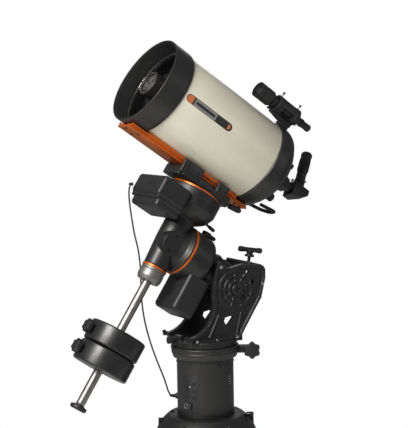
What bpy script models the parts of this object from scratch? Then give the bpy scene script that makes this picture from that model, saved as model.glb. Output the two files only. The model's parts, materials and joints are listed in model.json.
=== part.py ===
"""Schmidt-Cassegrain telescope on a German equatorial mount, a round pier and a tripod.

Metres, +Z up. The origin is on the floor under the pier's axis, and -X is the side of the celestial pole.
Most pieces are drawn in the frame of the axis they belong to:
  POLAR        z runs along the polar axis to the pole, x from the counterweights to the tube
  DECLINATION  z runs along the declination axis to the tube, x away from the pole
  OPTICAL      z runs along the optical axis to the sky, x away from the saddle
"""

from math import cos, pi, radians, sin

import bmesh
import bpy
from mathutils import Matrix, Vector

# Driving dimensions
ORIGIN = (0, 0, 0)
GAP = 0.0003
LATITUDE = radians(34.0)
AXES_HEIGHT = 1.400
AXES_FORWARD = 0.144
TUBE_OFFSET = 0.432
TUBE_RADIUS = 0.160
TUBE_WALL = 0.0035
CELL_RADIUS = 0.1666
TUBE_REAR = -0.137
TUBE_FRONT = 0.303
HOOD_FRONT = 0.393
PIER_RADIUS = 0.104
PIER_TOP = AXES_HEIGHT - 0.3853
HUB_TOP = AXES_HEIGHT - 0.642
FORK_HALF_WIDTH = 0.088
FORK_PLATE = 0.021
ALTITUDE_AXIS = (-0.022, -0.290)
SIDE_HOLES = ((0.052, -0.293, 0.013), (0.138, -0.123, 0.007), (0.155, -0.161, 0.009))
LEG_SPLAY = radians(27.0)
LEG_PIVOT_RADIUS = 0.150
LEG_PIVOT_HEIGHT = 0.655
LEG_END = 0.690
SPREADER_HEIGHT = LEG_PIVOT_HEIGHT - 0.160
SHAFT_RADIUS = 0.016
SHAFT_END = -0.650
WEIGHT_RADIUS = 0.104
WEIGHT_THICKNESS = 0.0745
WEIGHT_CENTRES = (("upper", -0.4012), ("lower", -0.4788))
CABLE_RADIUS = 0.003
CABLE_PORT_TURN = radians(140.0)
CABLE_PORT_HEIGHT = AXES_HEIGHT - 0.582
PANEL_TURN = radians(207.0)
AZIMUTH_ARM_TURN = radians(-31.6)
FINDER_TURN = radians(-13.0)
DIAGONAL_TURN = radians(20.0)

OBJECT = "schmidt_cassegrain_telescope"
CABLE_ROUTE = (
    (-0.2412, 0.0800, 1.6090),
    (-0.2490, 0.0800, 1.6080),
    (-0.2545, 0.0802, 1.5960),
    (-0.2565, 0.0804, 1.5740),
    (-0.2545, 0.0806, 1.5400),
    (-0.2480, 0.0808, 1.4900),
    (-0.2380, 0.0810, 1.4300),
    (-0.2240, 0.0812, 1.3700),
    (-0.2170, 0.0815, 1.3110),
    (-0.2155, 0.0820, 1.2500),
    (-0.2130, 0.0825, 1.1800),
    (-0.2040, 0.0830, 1.1150),
    (-0.1890, 0.0840, 1.0550),
    (-0.1690, 0.0860, 0.9950),
    (-0.1470, 0.0880, 0.9400),
    (-0.1260, 0.0890, 0.8900),
    (-0.1145, 0.0890, 0.8560),
    (-0.1080, 0.0875, 0.8340),
    (-0.1013, 0.0845, 0.8215),
    (-0.0965, 0.0810, 0.8184),
    (-0.0916, 0.0769, 0.8180),
)
CABLE_JOIN = 10
CABLE_STEP = 0.020


# ---------------------------------------------------------------- scene and object helpers


def clear_scene():
    for obj in list(bpy.data.objects):
        bpy.data.objects.remove(obj, do_unlink=True)


def collection(name):
    made = bpy.data.collections.new(name)
    bpy.context.scene.collection.children.link(made)
    return made


def material(name, colour, roughness, metallic=0.0):
    made = bpy.data.materials.new(name)
    made.use_nodes = True
    shader = made.node_tree.nodes["Principled BSDF"]
    shader.inputs["Base Color"].default_value = (*colour, 1.0)
    shader.inputs["Roughness"].default_value = roughness
    shader.inputs["Metallic"].default_value = metallic
    made.diffuse_color = (*colour, 1.0)
    return made


def empty(name, parent=None, location=(0, 0, 0), rotation=(0, 0, 0)):
    made = bpy.data.objects.new(name, None)
    PARTS.objects.link(made)
    made.parent = parent
    made.location = location
    made.rotation_euler = rotation
    return made


def add(name, mesh, finish, parent=None, at=ORIGIN, turn=ORIGIN):
    made = bpy.data.objects.new(name, mesh)
    PARTS.objects.link(made)
    made.parent = parent
    made.location = at
    made.rotation_euler = turn
    if finish is not None:
        mesh.materials.append(finish)
    return made


def helper(obj):
    """Turns an object into a hidden tool for a Boolean."""
    PARTS.objects.unlink(obj)
    CUTTERS.objects.link(obj)
    obj.hide_render = True
    obj.display_type = "WIRE"
    return obj


def boolean(target, tools, operation):
    for tool in tools:
        modifier = target.modifiers.new(operation.title(), "BOOLEAN")
        modifier.operation = operation
        modifier.object = helper(tool)
    return target


def union(target, *tools):
    return boolean(target, tools, "UNION")


def cut(target, *tools):
    return boolean(target, tools, "DIFFERENCE")


def bevel(obj, width, segments=1):
    modifier = obj.modifiers.new("Bevel", "BEVEL")
    modifier.width = width
    modifier.segments = segments
    modifier.limit_method = "ANGLE"
    return obj


def mesh_from(bm, name):
    mesh = bpy.data.meshes.new(name)
    bm.to_mesh(mesh)
    bm.free()
    return mesh


def cylinder(name, radius, low, high, finish=None, parent=None, at=ORIGIN, turn=ORIGIN, segments=20):
    """A cylinder along its local z, from low to high."""
    bm = bmesh.new()
    bmesh.ops.create_cone(
        bm, cap_ends=True, segments=segments, radius1=radius, radius2=radius, depth=high - low
    )
    bmesh.ops.translate(bm, verts=bm.verts, vec=(0, 0, (low + high) / 2))
    made = add(name, mesh_from(bm, name), finish, parent, at, turn)
    made.data.shade_smooth()
    made.data.set_sharp_from_angle(angle=radians(40))
    return made


def box(name, low, high, finish=None, parent=None, at=ORIGIN, turn=ORIGIN):
    """A box between two corners of its local frame."""
    bm = bmesh.new()
    bmesh.ops.create_cube(bm, size=1.0)
    size = [b - a for a, b in zip(low, high)]
    centre = [(a + b) / 2 for a, b in zip(low, high)]
    bmesh.ops.scale(bm, verts=bm.verts, vec=size)
    bmesh.ops.translate(bm, verts=bm.verts, vec=centre)
    return add(name, mesh_from(bm, name), finish, parent, at, turn)


def turned(name, profile, finish=None, parent=None, at=ORIGIN, turn=ORIGIN, segments=20):
    """A turned piece from (radius, z) points down its outer side, closed on the axis or on itself."""
    bm = bmesh.new()
    points = [bm.verts.new((radius, 0, z)) for radius, z in profile]
    for first, second in zip(points, points[1:]):
        bm.edges.new((first, second))
    if profile[0][0] > 0:
        bm.edges.new((points[-1], points[0]))
    made = add(name, mesh_from(bm, name), finish, parent, at, turn)
    screw = made.modifiers.new("Screw", "SCREW")
    screw.steps = segments
    screw.render_steps = segments
    screw.use_merge_vertices = True
    screw.merge_threshold = 0.00001
    screw.use_smooth_shade = True
    return made


def plate(name, outline, half_thickness, finish=None, parent=None, at=ORIGIN, turn=ORIGIN):
    """A flat outline in the local xy plane, extruded both ways along z."""
    curve = bpy.data.curves.new(name, "CURVE")
    curve.dimensions = "2D"
    curve.fill_mode = "BOTH"
    curve.extrude = half_thickness
    spline = curve.splines.new("POLY")
    spline.points.add(len(outline) - 1)
    for point, (x, y) in zip(spline.points, outline):
        point.co = (x, y, 0, 1)
    spline.use_cyclic_u = True
    return made_mesh(name, curve, finish, parent, at, turn)


def made_mesh(name, curve, finish, parent, at, turn):
    """Makes a curve's shape a mesh object with its caps welded on."""
    guide = bpy.data.objects.new(name + "_curve", curve)
    PARTS.objects.link(guide)
    bpy.context.view_layer.update()
    evaluated = guide.evaluated_get(bpy.context.evaluated_depsgraph_get())
    mesh = bpy.data.meshes.new_from_object(evaluated)
    bpy.data.objects.remove(guide, do_unlink=True)
    bm = bmesh.new()
    bm.from_mesh(mesh)
    bmesh.ops.remove_doubles(bm, verts=bm.verts, dist=0.00001)
    bm.to_mesh(mesh)
    bm.free()
    mesh.materials.clear()
    return add(name, mesh, finish, parent, at, turn)


def tube(name, points, radius, finish=None, parent=None, resolution=2):
    """A round bar along a list of points."""
    curve = bpy.data.curves.new(name, "CURVE")
    curve.dimensions = "3D"
    curve.bevel_depth = radius
    curve.bevel_resolution = resolution
    curve.use_fill_caps = True
    spline = curve.splines.new("POLY")
    spline.points.add(len(points) - 1)
    for point, place in zip(spline.points, points):
        point.co = (*place, 1)
    made = bpy.data.objects.new(name, curve)
    PARTS.objects.link(made)
    made.parent = parent
    curve.materials.append(finish)
    return made


def smooth_route(points, step):
    """Points about `step` apart on a Catmull-Rom curve through the given points."""
    knots = [Vector(point) for point in points]
    knots = [2 * knots[0] - knots[1], *knots, 2 * knots[-1] - knots[-2]]
    route = []
    for a, b, c, d in zip(knots, knots[1:], knots[2:], knots[3:]):
        count = max(1, round((c - b).length / step))
        for index in range(count):
            t = index / count
            square = (2 * a - 5 * b + 4 * c - d) * t**2
            cube = (3 * b - a - 3 * c + d) * t**3
            route.append(0.5 * (2 * b + (c - a) * t + square + cube))
    return [*route, knots[-2]]


def arc(centre, radius, start, end, count):
    """Points on an arc, with its angles in degrees."""
    steps = [radians(start + (end - start) * index / (count - 1)) for index in range(count)]
    return [(centre[0] + radius * cos(angle), centre[1] + radius * sin(angle)) for angle in steps]


def lobed(radius, depth, lobes=6, per_lobe=4):
    """The outline of a hand knob with round lobes."""
    count = lobes * per_lobe
    outline = []
    for index in range(count):
        angle = 2 * pi * index / count
        reach = radius - depth * (0.5 - 0.5 * cos(lobes * angle))
        outline.append((reach * cos(angle), reach * sin(angle)))
    return outline


def lobed_knob(name, radius, height, parent, at, turn, neck=0.009, neck_length=0.008):
    """A lobed hand knob on a round neck that starts at its origin and runs along its local z."""
    half = (height - neck_length) / 2
    head = plate(name, lobed(radius, 0.18 * radius), half, MOULDED, parent, at, turn)
    head.data.transform(move_z(height - half))
    stem = cylinder(name + "_neck", neck, 0, neck_length + half, None, parent, at, turn, segments=12)
    return union(head, stem)


def move_z(distance):
    return Matrix.Translation((0, 0, distance))


# ---------------------------------------------------------------- tripod and pier


def make_hub():
    """The domed tripod head, its three pairs of leg lugs with their pins, and the threaded centre rod."""
    top = HUB_TOP
    dome = turned(
        "tripod_hub",
        [
            (0, top),
            (0.137, top),
            (0.152, top - 0.013),
            (0.170, top - 0.032),
            (0.183, top - 0.060),
            (0.188, top - 0.088),
            (0.180, top - 0.088),
            (0.168, top - 0.063),
            (0.130, top - 0.020),
            (0, top - 0.020),
        ],
        CASTING,
        segments=28,
    )
    tools = [cylinder("rod_tool", 0.008, 0.315, top - 0.010, segments=12)]
    for index, turn in enumerate(leg_turns()):
        spin = (0, 0, turn)
        for side in (-1, 1):
            centre = side * 0.030
            low = (LEG_PIVOT_RADIUS - 0.028, centre - 0.0065, LEG_PIVOT_HEIGHT - 0.022)
            high = (LEG_PIVOT_RADIUS + 0.020, centre + 0.0065, top - 0.042)
            tools.append(box(f"lug_tool_{index}_{side}", low, high, turn=spin))
        pin_at = (LEG_PIVOT_RADIUS * cos(turn), LEG_PIVOT_RADIUS * sin(turn), LEG_PIVOT_HEIGHT)
        across = (pi / 2, 0, turn)
        tools.append(cylinder(f"pin_tool_{index}", 0.008, -0.042, 0.042, at=pin_at, turn=across, segments=12))
    return union(dome, *tools)


def leg_turns():
    """One leg points to the pole and the other two stand 120 degrees away from it."""
    return [pi, pi + 2 * pi / 3, pi - 2 * pi / 3]


def make_leg(number, turn):
    """A leg in its own frame: origin on its pin, z up along the leg, x outwards."""
    root = empty(f"leg_frame_{number}", None, (0, 0, LEG_PIVOT_HEIGHT), (0, 0, turn))
    frame = empty(f"leg_axis_{number}", root, (LEG_PIVOT_RADIUS, 0, 0), (0, -LEG_SPLAY, 0))
    make_upper_leg(number, frame)
    make_lower_leg(number, frame)
    make_foot(number, frame, root)
    knob = f"leg_lock_knob_{number}"
    lobed_knob(knob, 0.020, 0.030, frame, (0.0545, 0, -0.525), (0, pi / 2, 0), neck=0.006)


def make_upper_leg(number, frame):
    outer = turned(
        f"leg_upper_{number}",
        [(0, -0.045), (0.035, -0.045), (0.035, -0.495), (0.043, -0.500), (0.043, -0.550), (0.0305, -0.550)]
        + [(0.0305, -0.100), (0, -0.100)],
        STAINLESS,
        frame,
        segments=16,
    )
    block = box(f"leg_block_{number}", (-0.027, -0.0225, -0.060), (0.027, 0.0225, 0.020), None, frame)
    boss = box(f"leg_boss_{number}", (0.033, -0.012, -0.540), (0.054, 0.012, -0.510), None, frame)
    hole = cylinder(f"leg_hole_{number}", 0.0083, -0.05, 0.05, None, frame, turn=(pi / 2, 0, 0), segments=12)
    return cut(union(outer, block, boss), hole)


def make_lower_leg(number, frame):
    return turned(
        f"leg_lower_{number}",
        [(0.030, -0.125), (0.030, -LEG_END), (0.026, -LEG_END), (0.026, -0.125)],
        STAINLESS,
        frame,
        segments=16,
    )


def make_foot(number, frame, root):
    """A rubber foot: a flat pad on the floor under a sleeve in line with the leg."""
    reach = LEG_END + 0.024
    pad_at = (LEG_PIVOT_RADIUS + reach * sin(LEG_SPLAY), 0, -LEG_PIVOT_HEIGHT)
    pad = cylinder(f"foot_{number}", 0.038, 0.0, 0.022, RUBBER, root, pad_at, segments=16)
    sleeve = cylinder(f"foot_sleeve_{number}", 0.027, -reach, -LEG_END - GAP, None, frame, segments=16)
    return union(pad, sleeve)


def make_spreader():
    """The three-armed brace that slides on the centre rod, and the knob under it."""
    ring = cylinder("spreader", 0.034, SPREADER_HEIGHT - 0.012, SPREADER_HEIGHT + 0.012, CASTING, segments=16)
    arms = []
    for index, turn in enumerate(leg_turns()):
        arms.append(
            box(
                f"arm_tool_{index}",
                (0.020, -0.015, SPREADER_HEIGHT - 0.009),
                (0.183, 0.015, SPREADER_HEIGHT + 0.009),
                turn=(0, 0, turn),
            )
        )
    hole = cylinder("spreader_hole", 0.0086, SPREADER_HEIGHT - 0.05, SPREADER_HEIGHT + 0.05, segments=12)
    cut(union(ring, *arms), hole)
    top = SPREADER_HEIGHT - 0.0125
    head = plate("spreader_knob", lobed(0.028, 0.005), 0.010, MOULDED)
    head.data.transform(move_z(top - 0.012))
    cut(head, cylinder("knob_hole", 0.0086, top - 0.05, top + 0.05, segments=12))


def make_pier():
    """The round pier with its top flange and the bracket of the azimuth knob."""
    low = HUB_TOP + GAP
    top = PIER_TOP
    column = turned(
        "pier_column",
        [
            (0, top),
            (0.122, top),
            (0.125, top - 0.003),
            (0.124, top - 0.020),
            (0.117, top - 0.042),
            (PIER_RADIUS, top - 0.046),
            (PIER_RADIUS, low),
            (PIER_RADIUS - 0.006, low),
            (PIER_RADIUS - 0.006, top - 0.060),
            (0, top - 0.060),
        ],
        SATIN_BLACK,
        segments=28,
    )
    along = (0, 0, AZIMUTH_ARM_TURN)
    arm = box("azimuth_arm", (0.100, -0.013, top - 0.034), (0.190, 0.013, top - 0.006), turn=along)
    union(column, arm, cable_port())
    make_switch()


def make_switch():
    """The rocker switch of the electronics panel."""
    spot = PIER_RADIUS + 0.0045
    at = (spot * cos(PANEL_TURN), spot * sin(PANEL_TURN), HUB_TOP + 0.045)
    rocker = box("power_switch", (-0.0025, -0.007, -0.010), (0.0025, 0.007, 0.010), MOULDED, None, at)
    rocker.rotation_euler = (0, 0, PANEL_TURN)


def cable_port():
    """The socket on the side of the pier that takes the lower end of the declination cable."""
    return turned(
        "cable_port_tool",
        [(0, 0.1185), (0.0070, 0.1185), (0.0070, 0.1120), (0.0110, 0.1115), (0.0110, 0.1010), (0, 0.1010)],
        None,
        None,
        (0, 0, CABLE_PORT_HEIGHT),
        (0, pi / 2, CABLE_PORT_TURN),
        segments=16,
    )


# ---------------------------------------------------------------- altitude and azimuth fork


def fork_outline():
    """One side plate: x from the pier's axis and z from the height where the main axes cross."""
    front = arc((-0.127, -0.224), 0.119, -90, 14, 9)
    rest = [
        (-0.004, -0.137),
        (0.007, -0.085),
        (0.023, -0.070),
        (0.095, -0.070),
        (0.188, -0.097),
        (0.212, -0.112),
        (0.213, -0.150),
        (0.194, -0.222),
        (0.154, -0.280),
        (0.108, -0.350),
        (0.108, -0.370),
        (-0.105, -0.370),
        (-0.118, -0.343),
    ]
    return [*front, *rest]


def make_fork():
    """The azimuth base: a round foot, two side plates, a bridge over their back, and a front block."""
    base = PIER_TOP + GAP
    foot = cylinder("fork_mount", 0.118, base, base + 0.024, CASTING, segments=24)
    tools = []
    reach = FORK_HALF_WIDTH - FORK_PLATE / 2
    across = (pi / 2, 0, 0)
    for side in (-1, 1):
        at = (0, side * reach, AXES_HEIGHT)
        tools.append(plate(f"side_tool_{side}", fork_outline(), FORK_PLATE / 2, at=at, turn=across))
    bridge_at = (0.176, 0, AXES_HEIGHT - 0.0935)
    bridge = box("bridge_tool", (-0.030, -reach, -0.013), (0.032, reach, 0.0), at=bridge_at)
    bridge.rotation_euler = (0, radians(16), 0)
    block = box("block_tool", (-0.118, -0.020, base + 0.012), (-0.100, 0.020, base + 0.044))
    union(foot, *tools, bridge, block)
    holes = [cylinder("axle_hole", 0.0125, -0.12, 0.12, at=polar_point(*ALTITUDE_AXIS), turn=across)]
    for index, (x, z, radius) in enumerate(SIDE_HOLES):
        at = (x, 0, AXES_HEIGHT + z)
        holes.append(cylinder(f"side_hole_{index}", radius, -0.12, 0.12, at=at, turn=across, segments=12))
    cut(foot, *holes)
    screw_hole = cylinder("screw_hole", 0.0065, -0.05, 0.05, parent=HANDLE, segments=12)
    return cut(foot, screw_hole)


def polar_point(along_x, along_z):
    """A point of the meridian plane, from its place in the polar frame."""
    x = -AXES_FORWARD + along_x * sin(LATITUDE) - along_z * cos(LATITUDE)
    z = AXES_HEIGHT + along_x * cos(LATITUDE) + along_z * sin(LATITUDE)
    return (x, 0, z)


def make_altitude_parts():
    """The axle that the polar head tilts on, and the T-handled screw that sets the tilt."""
    at = polar_point(*ALTITUDE_AXIS)
    turned(
        "altitude_axle",
        [
            (0, 0.1010),
            (0.022, 0.1010),
            (0.022, 0.0885),
            (0.012, 0.0885),
            (0.012, -0.0960),
            (0, -0.0960),
        ],
        STAINLESS,
        None,
        at,
        (pi / 2, 0, 0),
        segments=16,
    )
    handle = turned(
        "altitude_handle",
        [
            (0, 0.052),
            (0.012, 0.050),
            (0.013, 0.036),
            (0.011, 0.030),
            (0.018, 0.028),
            (0.018, 0.020),
            (0.006, 0.019),
            (0.006, -0.030),
            (0, -0.030),
        ],
        CASTING,
        HANDLE,
        segments=16,
    )
    bar = cylinder("handle_bar", 0.0080, -0.050, 0.050, None, HANDLE, (0, 0, 0.046), (0, pi / 2, 0), 12)
    union(handle, bar)


def make_azimuth_knobs():
    """The large lobed knob on the pier's bracket and the small clamp knob at the front of the fork."""
    height = PIER_TOP - 0.020
    reach = 0.172
    side = AZIMUTH_ARM_TURN - pi / 2
    at = (
        reach * cos(AZIMUTH_ARM_TURN) + 0.0135 * cos(side),
        reach * sin(AZIMUTH_ARM_TURN) + 0.0135 * sin(side),
        height,
    )
    lobed_knob("azimuth_knob", 0.031, 0.030, None, at, (0, pi / 2, side), neck=0.010, neck_length=0.010)
    front = (-0.1185, 0, PIER_TOP + 0.030)
    turned(
        "fork_clamp_knob",
        [(0, 0.036), (0.011, 0.036), (0.013, 0.033), (0.013, 0.012), (0.007, 0.010), (0.007, 0), (0, 0)],
        MOULDED,
        None,
        front,
        (0, -pi / 2, 0),
        segments=12,
    )


# ---------------------------------------------------------------- polar head


def make_polar_head():
    """The right-ascension housing, its orange ring, motor cover and clutch, and the shaft inside."""
    housing = turned(
        "ra_housing",
        [
            (0, -0.270),
            (0.0225, -0.270),
            (0.0225, -0.096),
            (0.062, -0.096),
            (0.062, -0.0643),
            (0.0935, -0.0643),
            (0.0935, -0.140),
            (0.088, -0.153),
            (0.070, -0.163),
            (0.061, -0.175),
            (0.061, -0.372),
            (0.052, -0.385),
            (0, -0.385),
        ],
        CASTING,
        POLAR,
        segments=24,
    )
    axle = (*ALTITUDE_AXIS[:1], 0, ALTITUDE_AXIS[1])
    cut(housing, cylinder("axle_bore", 0.0123, -0.1, 0.1, None, POLAR, axle, (pi / 2, 0, 0)))
    turned(
        "ra_ring",
        [(0.0945, -0.0570), (0.0945, -0.0640), (0.070, -0.0640), (0.070, -0.0570)],
        ORANGE,
        POLAR,
        segments=24,
    )
    turned(
        "ra_shaft",
        [
            (0, -0.0575),
            (0.040, -0.0575),
            (0.040, -0.068),
            (0.058, -0.068),
            (0.058, -0.086),
            (0.0220, -0.086),
            (0.0220, -0.262),
            (0, -0.262),
        ],
        BRASS,
        POLAR,
        segments=16,
    )
    make_ra_motor_cover()
    make_ra_clutch()


def make_ra_motor_cover():
    """The rounded box that hangs under the right-ascension housing and holds its motor."""
    cover = box("ra_motor_cover", (-0.208, -0.073, -0.196), (-0.050, 0.073, -0.102), MOULDED, POLAR)
    bevel(cover, 0.016, 2)
    return cut(cover, cylinder("housing_tool", 0.0938, -0.3, 0.1, None, POLAR, segments=24))


def make_ra_clutch():
    """The clutch knob on top of the right-ascension housing, with its short lever."""
    along = -0.122
    knob = cylinder("ra_clutch_knob", 0.017, 0, 0.016, MOULDED, POLAR, (0.0942, 0, along), (0, pi / 2, 0))
    lever = cylinder("clutch_lever", 0.0075, 0.0, 0.042, None, POLAR, (0.1030, 0, along), (pi, 0, 0), 12)
    return union(knob, lever)


# ---------------------------------------------------------------- declination head


def head_side(offset):
    """The side of the declination head and barrel, from its rim down, moved out by an offset."""
    rim = [(0.104, 0.149), (0.089, 0.119), (0.066, 0.102)]
    barrel = [(0.0545, 0.0965), (0.0520, 0.080), (0.0510, 0.0)]
    return [(radius + offset, z) for radius, z in rim + barrel]


def make_declination_head():
    """The declination housing with its top ring, the axle inside, the motor cover and the clutch."""
    housing = turned(
        "dec_housing",
        [
            (0, 0.150),
            (0.080, 0.150),
            (0.080, 0.2035),
            (0.104, 0.2035),
            *head_side(0.0),
            (0.0445, -0.103),
            (0, -0.103),
        ],
        CASTING,
        DECLINATION,
        segments=24,
    )
    neck = turned(
        "neck_tool",
        [
            (0, 0.032),
            (0.043, 0.030),
            (0.0600, 0.006),
            (0.0640, -0.018),
            (0.0760, -0.040),
            (0.092, -0.050),
            (0.092, -0.0567),
            (0, -0.0567),
        ],
        None,
        POLAR,
        segments=24,
    )
    facet = cylinder("facet_tool", 0.038, 0.020, 0.0645, None, POLAR, (-0.006, 0, -0.010), (pi / 2, 0, 0), 28)
    union(housing, neck, facet)
    cut(housing, cylinder("axle_bore_2", 0.0225, -0.2, 0.16, None, DECLINATION, segments=20))
    turned(
        "dec_top_ring",
        [(0.0955, 0.2105), (0.0955, 0.2038), (0.0225, 0.2038), (0.0225, 0.2105)],
        ORANGE,
        DECLINATION,
        segments=24,
    )
    turned(
        "dec_axle",
        [
            (0, 0.2118),
            (0.0215, 0.2118),
            (0.0215, 0.190),
            (0.076, 0.190),
            (0.076, 0.166),
            (0.0215, 0.166),
            (0.0215, -0.060),
            (0, -0.060),
        ],
        BRASS,
        DECLINATION,
        segments=16,
    )
    make_dec_motor_cover()
    make_dec_clutch()


def make_dec_motor_cover():
    """The motor cover round the front of the declination head, with a deep upper and a smaller lower half."""
    upper = box("dec_motor_cover", (-0.184, -0.101, 0.098), (-0.060, 0.101, 0.176), MOULDED, DECLINATION)
    bevel(upper, 0.014, 2)
    lower = box("lower_tool", (-0.166, -0.092, 0.062), (-0.062, 0.092, 0.105), None, DECLINATION)
    bevel(lower, 0.020, 2)
    around = turned(
        "head_tool",
        [(0, 0.3), (0.1043, 0.3), *head_side(GAP), (0, 0.0)],
        None,
        DECLINATION,
        segments=24,
    )
    return cut(union(upper, lower), around)


def make_dec_clutch():
    """The small clutch knob under the back of the declination head."""
    return turned(
        "dec_clutch_knob",
        [(0, 0.040), (0.0055, 0.038), (0.0065, 0.012), (0.0045, 0.010), (0.0045, 0), (0, 0)],
        MOULDED,
        DECLINATION,
        (0.0985, -0.010, 0.1300),
        (0, radians(96), 0),
        segments=12,
    )


def make_counterweights():
    """The ring and nut under the declination housing, the shaft, two locking weights and the safety cap."""
    bore = SHAFT_RADIUS + GAP
    turned(
        "dec_ring",
        [(0.0465, -0.1033), (0.0465, -0.1105), (bore, -0.1105), (bore, -0.1033)],
        ORANGE,
        DECLINATION,
        segments=20,
    )
    turned(
        "dec_lock_nut",
        [(0.0450, -0.1108), (0.0455, -0.148), (0.040, -0.160), (bore, -0.160), (bore, -0.1108)],
        SILVER,
        DECLINATION,
        segments=20,
    )
    cylinder("counterweight_shaft", SHAFT_RADIUS, SHAFT_END, -0.070, STAINLESS, DECLINATION, segments=16)
    turned(
        "shaft_end_cap",
        [
            (0, SHAFT_END - GAP),
            (0.020, SHAFT_END - GAP),
            (0.0305, SHAFT_END - 0.005),
            (0.0305, SHAFT_END - 0.016),
            (0.027, SHAFT_END - 0.020),
            (0, SHAFT_END - 0.020),
        ],
        MOULDED,
        DECLINATION,
        segments=16,
    )
    for label, centre in WEIGHT_CENTRES:
        make_weight(label, centre)


def make_weight(label, centre):
    half = WEIGHT_THICKNESS / 2
    bore = SHAFT_RADIUS + GAP
    rim = WEIGHT_RADIUS
    turned(
        f"counterweight_{label}",
        [
            (rim - 0.005, centre + half),
            (rim, centre + half - 0.005),
            (rim, centre - half + 0.005),
            (rim - 0.005, centre - half),
            (bore, centre - half),
            (bore, centre + half),
        ],
        IRON,
        DECLINATION,
        segments=24,
    )
    at = (-rim - GAP, 0, centre)
    lobed_knob(f"counterweight_knob_{label}", 0.025, 0.026, DECLINATION, at, (0, -pi / 2, 0))


# ---------------------------------------------------------------- saddle and dovetail


def make_saddle():
    """The saddle plate with its fixed jaw, the sliding near jaw, and the clamp knob that draws it in."""
    low, high = 0.2122, 0.2505
    saddle = box("saddle", (-0.130, -0.0560, low), (0.112, 0.0560, high), CASTING, DECLINATION)
    bevel(saddle, 0.004, 1)
    far_jaw = box("far_jaw_tool", (-0.120, 0.0520, low + 0.004), (0.100, 0.0700, 0.2745), None, DECLINATION)
    union(saddle, far_jaw)
    bar = box("saddle_jaw", (-0.120, -0.0720, low + 0.004), (0.100, -0.0565, 0.2380), CASTING, DECLINATION)
    front = box("front_jaw_tool", (-0.135, -0.0720, 0.2200), (-0.045, -0.0565, 0.2745), None, DECLINATION)
    rear = box("rear_jaw_tool", (0.030, -0.0720, 0.2200), (0.080, -0.0565, 0.2745), None, DECLINATION)
    union(bar, front, rear)
    turned(
        "saddle_knob",
        [
            (0, 0.072),
            (0.009, 0.070),
            (0.011, 0.064),
            (0.011, 0.022),
            (0.006, 0.016),
            (0.006, 0),
            (0, 0),
        ],
        MOULDED,
        DECLINATION,
        (0.1142, -0.030, 0.2290),
        (0, radians(82), 0),
        segments=12,
    )


def make_dovetail():
    """The wide orange dovetail plate with two raised rails along the tube, lower under the front cell."""
    under = TUBE_OFFSET - 0.1800
    top = TUBE_OFFSET - 0.1675
    bar = box("dovetail_bar", (-0.372, -0.050, under + GAP), (0.190, 0.050, top), ORANGE, DECLINATION)
    rails = []
    for side in (-1, 1):
        inner, outer = sorted((side * 0.0415, side * 0.0500))
        for start, end, height in ((-0.372, -0.295, 0.0048), (-0.298, 0.132, 0.0125)):
            low = (start, inner, top - 0.002)
            high = (end, outer, top + height)
            rails.append(box(f"rail_tool_{side}_{len(rails)}", low, high, None, DECLINATION))
    return union(bar, *rails)


# ---------------------------------------------------------------- optical tube


def make_front_end():
    """The front cell, the corrector plate in it, and the secondary mirror's cell in the corrector's hole."""
    turned(
        "front_cell",
        [
            (CELL_RADIUS, HOOD_FRONT),
            (CELL_RADIUS, TUBE_FRONT),
            (0.1480, TUBE_FRONT),
            (0.1480, 0.3240),
            (0.1600, 0.3240),
            (0.1600, HOOD_FRONT),
        ],
        SATIN_BLACK,
        OPTICAL,
        segments=32,
    )
    turned(
        "corrector_plate",
        [(0.1596, 0.3295), (0.1596, 0.3243), (0.0400, 0.3243), (0.0400, 0.3295)],
        GLASS,
        OPTICAL,
        segments=32,
    )
    turned(
        "secondary_cell",
        [
            (0, 0.3700),
            (0.030, 0.3700),
            (0.0465, 0.3730),
            (0.0475, 0.3300),
            (0.0395, 0.3298),
            (0.0395, 0.2950),
            (0, 0.2950),
        ],
        MOULDED,
        OPTICAL,
        segments=20,
    )


def make_tube():
    inner = TUBE_RADIUS - TUBE_WALL
    turned(
        "optical_tube",
        [
            (TUBE_RADIUS, TUBE_FRONT - GAP),
            (TUBE_RADIUS, TUBE_REAR),
            (inner, TUBE_REAR),
            (inner, TUBE_FRONT - GAP),
        ],
        CREAM,
        OPTICAL,
        segments=32,
    )


def make_rear_end():
    """The rear cell, the baffle tube, the primary mirror that slides on it, the focus knob and a handle."""
    front = TUBE_REAR - GAP
    turned(
        "rear_cell",
        [
            (CELL_RADIUS, front),
            (CELL_RADIUS, -0.186),
            (0.158, -0.205),
            (0.134, -0.228),
            (0.112, -0.247),
            (0.100, -0.250),
            (0.0255, -0.250),
            (0.0255, -0.226),
            (0.100, -0.226),
            (0.145, -0.192),
            (0.156, -0.180),
            (0.156, front),
        ],
        SATIN_BLACK,
        OPTICAL,
        segments=32,
    )
    turned(
        "baffle_tube",
        [
            (0.0300, 0.060),
            (0.0300, -0.2200),
            (0.046, -0.2205),
            (0.046, -0.2257),
            (0.026, -0.2257),
            (0.026, 0.060),
        ],
        MOULDED,
        OPTICAL,
        segments=16,
    )
    turned(
        "primary_mirror",
        [(0.1410, -0.140), (0.1410, -0.162), (0.0305, -0.170), (0.0305, -0.146), (0.080, -0.1445)],
        MIRROR,
        OPTICAL,
        segments=24,
    )
    turned(
        "focus_knob",
        [(0, 0.034), (0.015, 0.034), (0.0165, 0.031), (0.0165, 0.008), (0.010, 0.006), (0.010, 0), (0, 0)],
        MOULDED,
        OPTICAL,
        (-0.078, -0.022, -0.2503),
        (pi, 0, 0),
        segments=16,
    )
    make_carry_handle()


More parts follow.
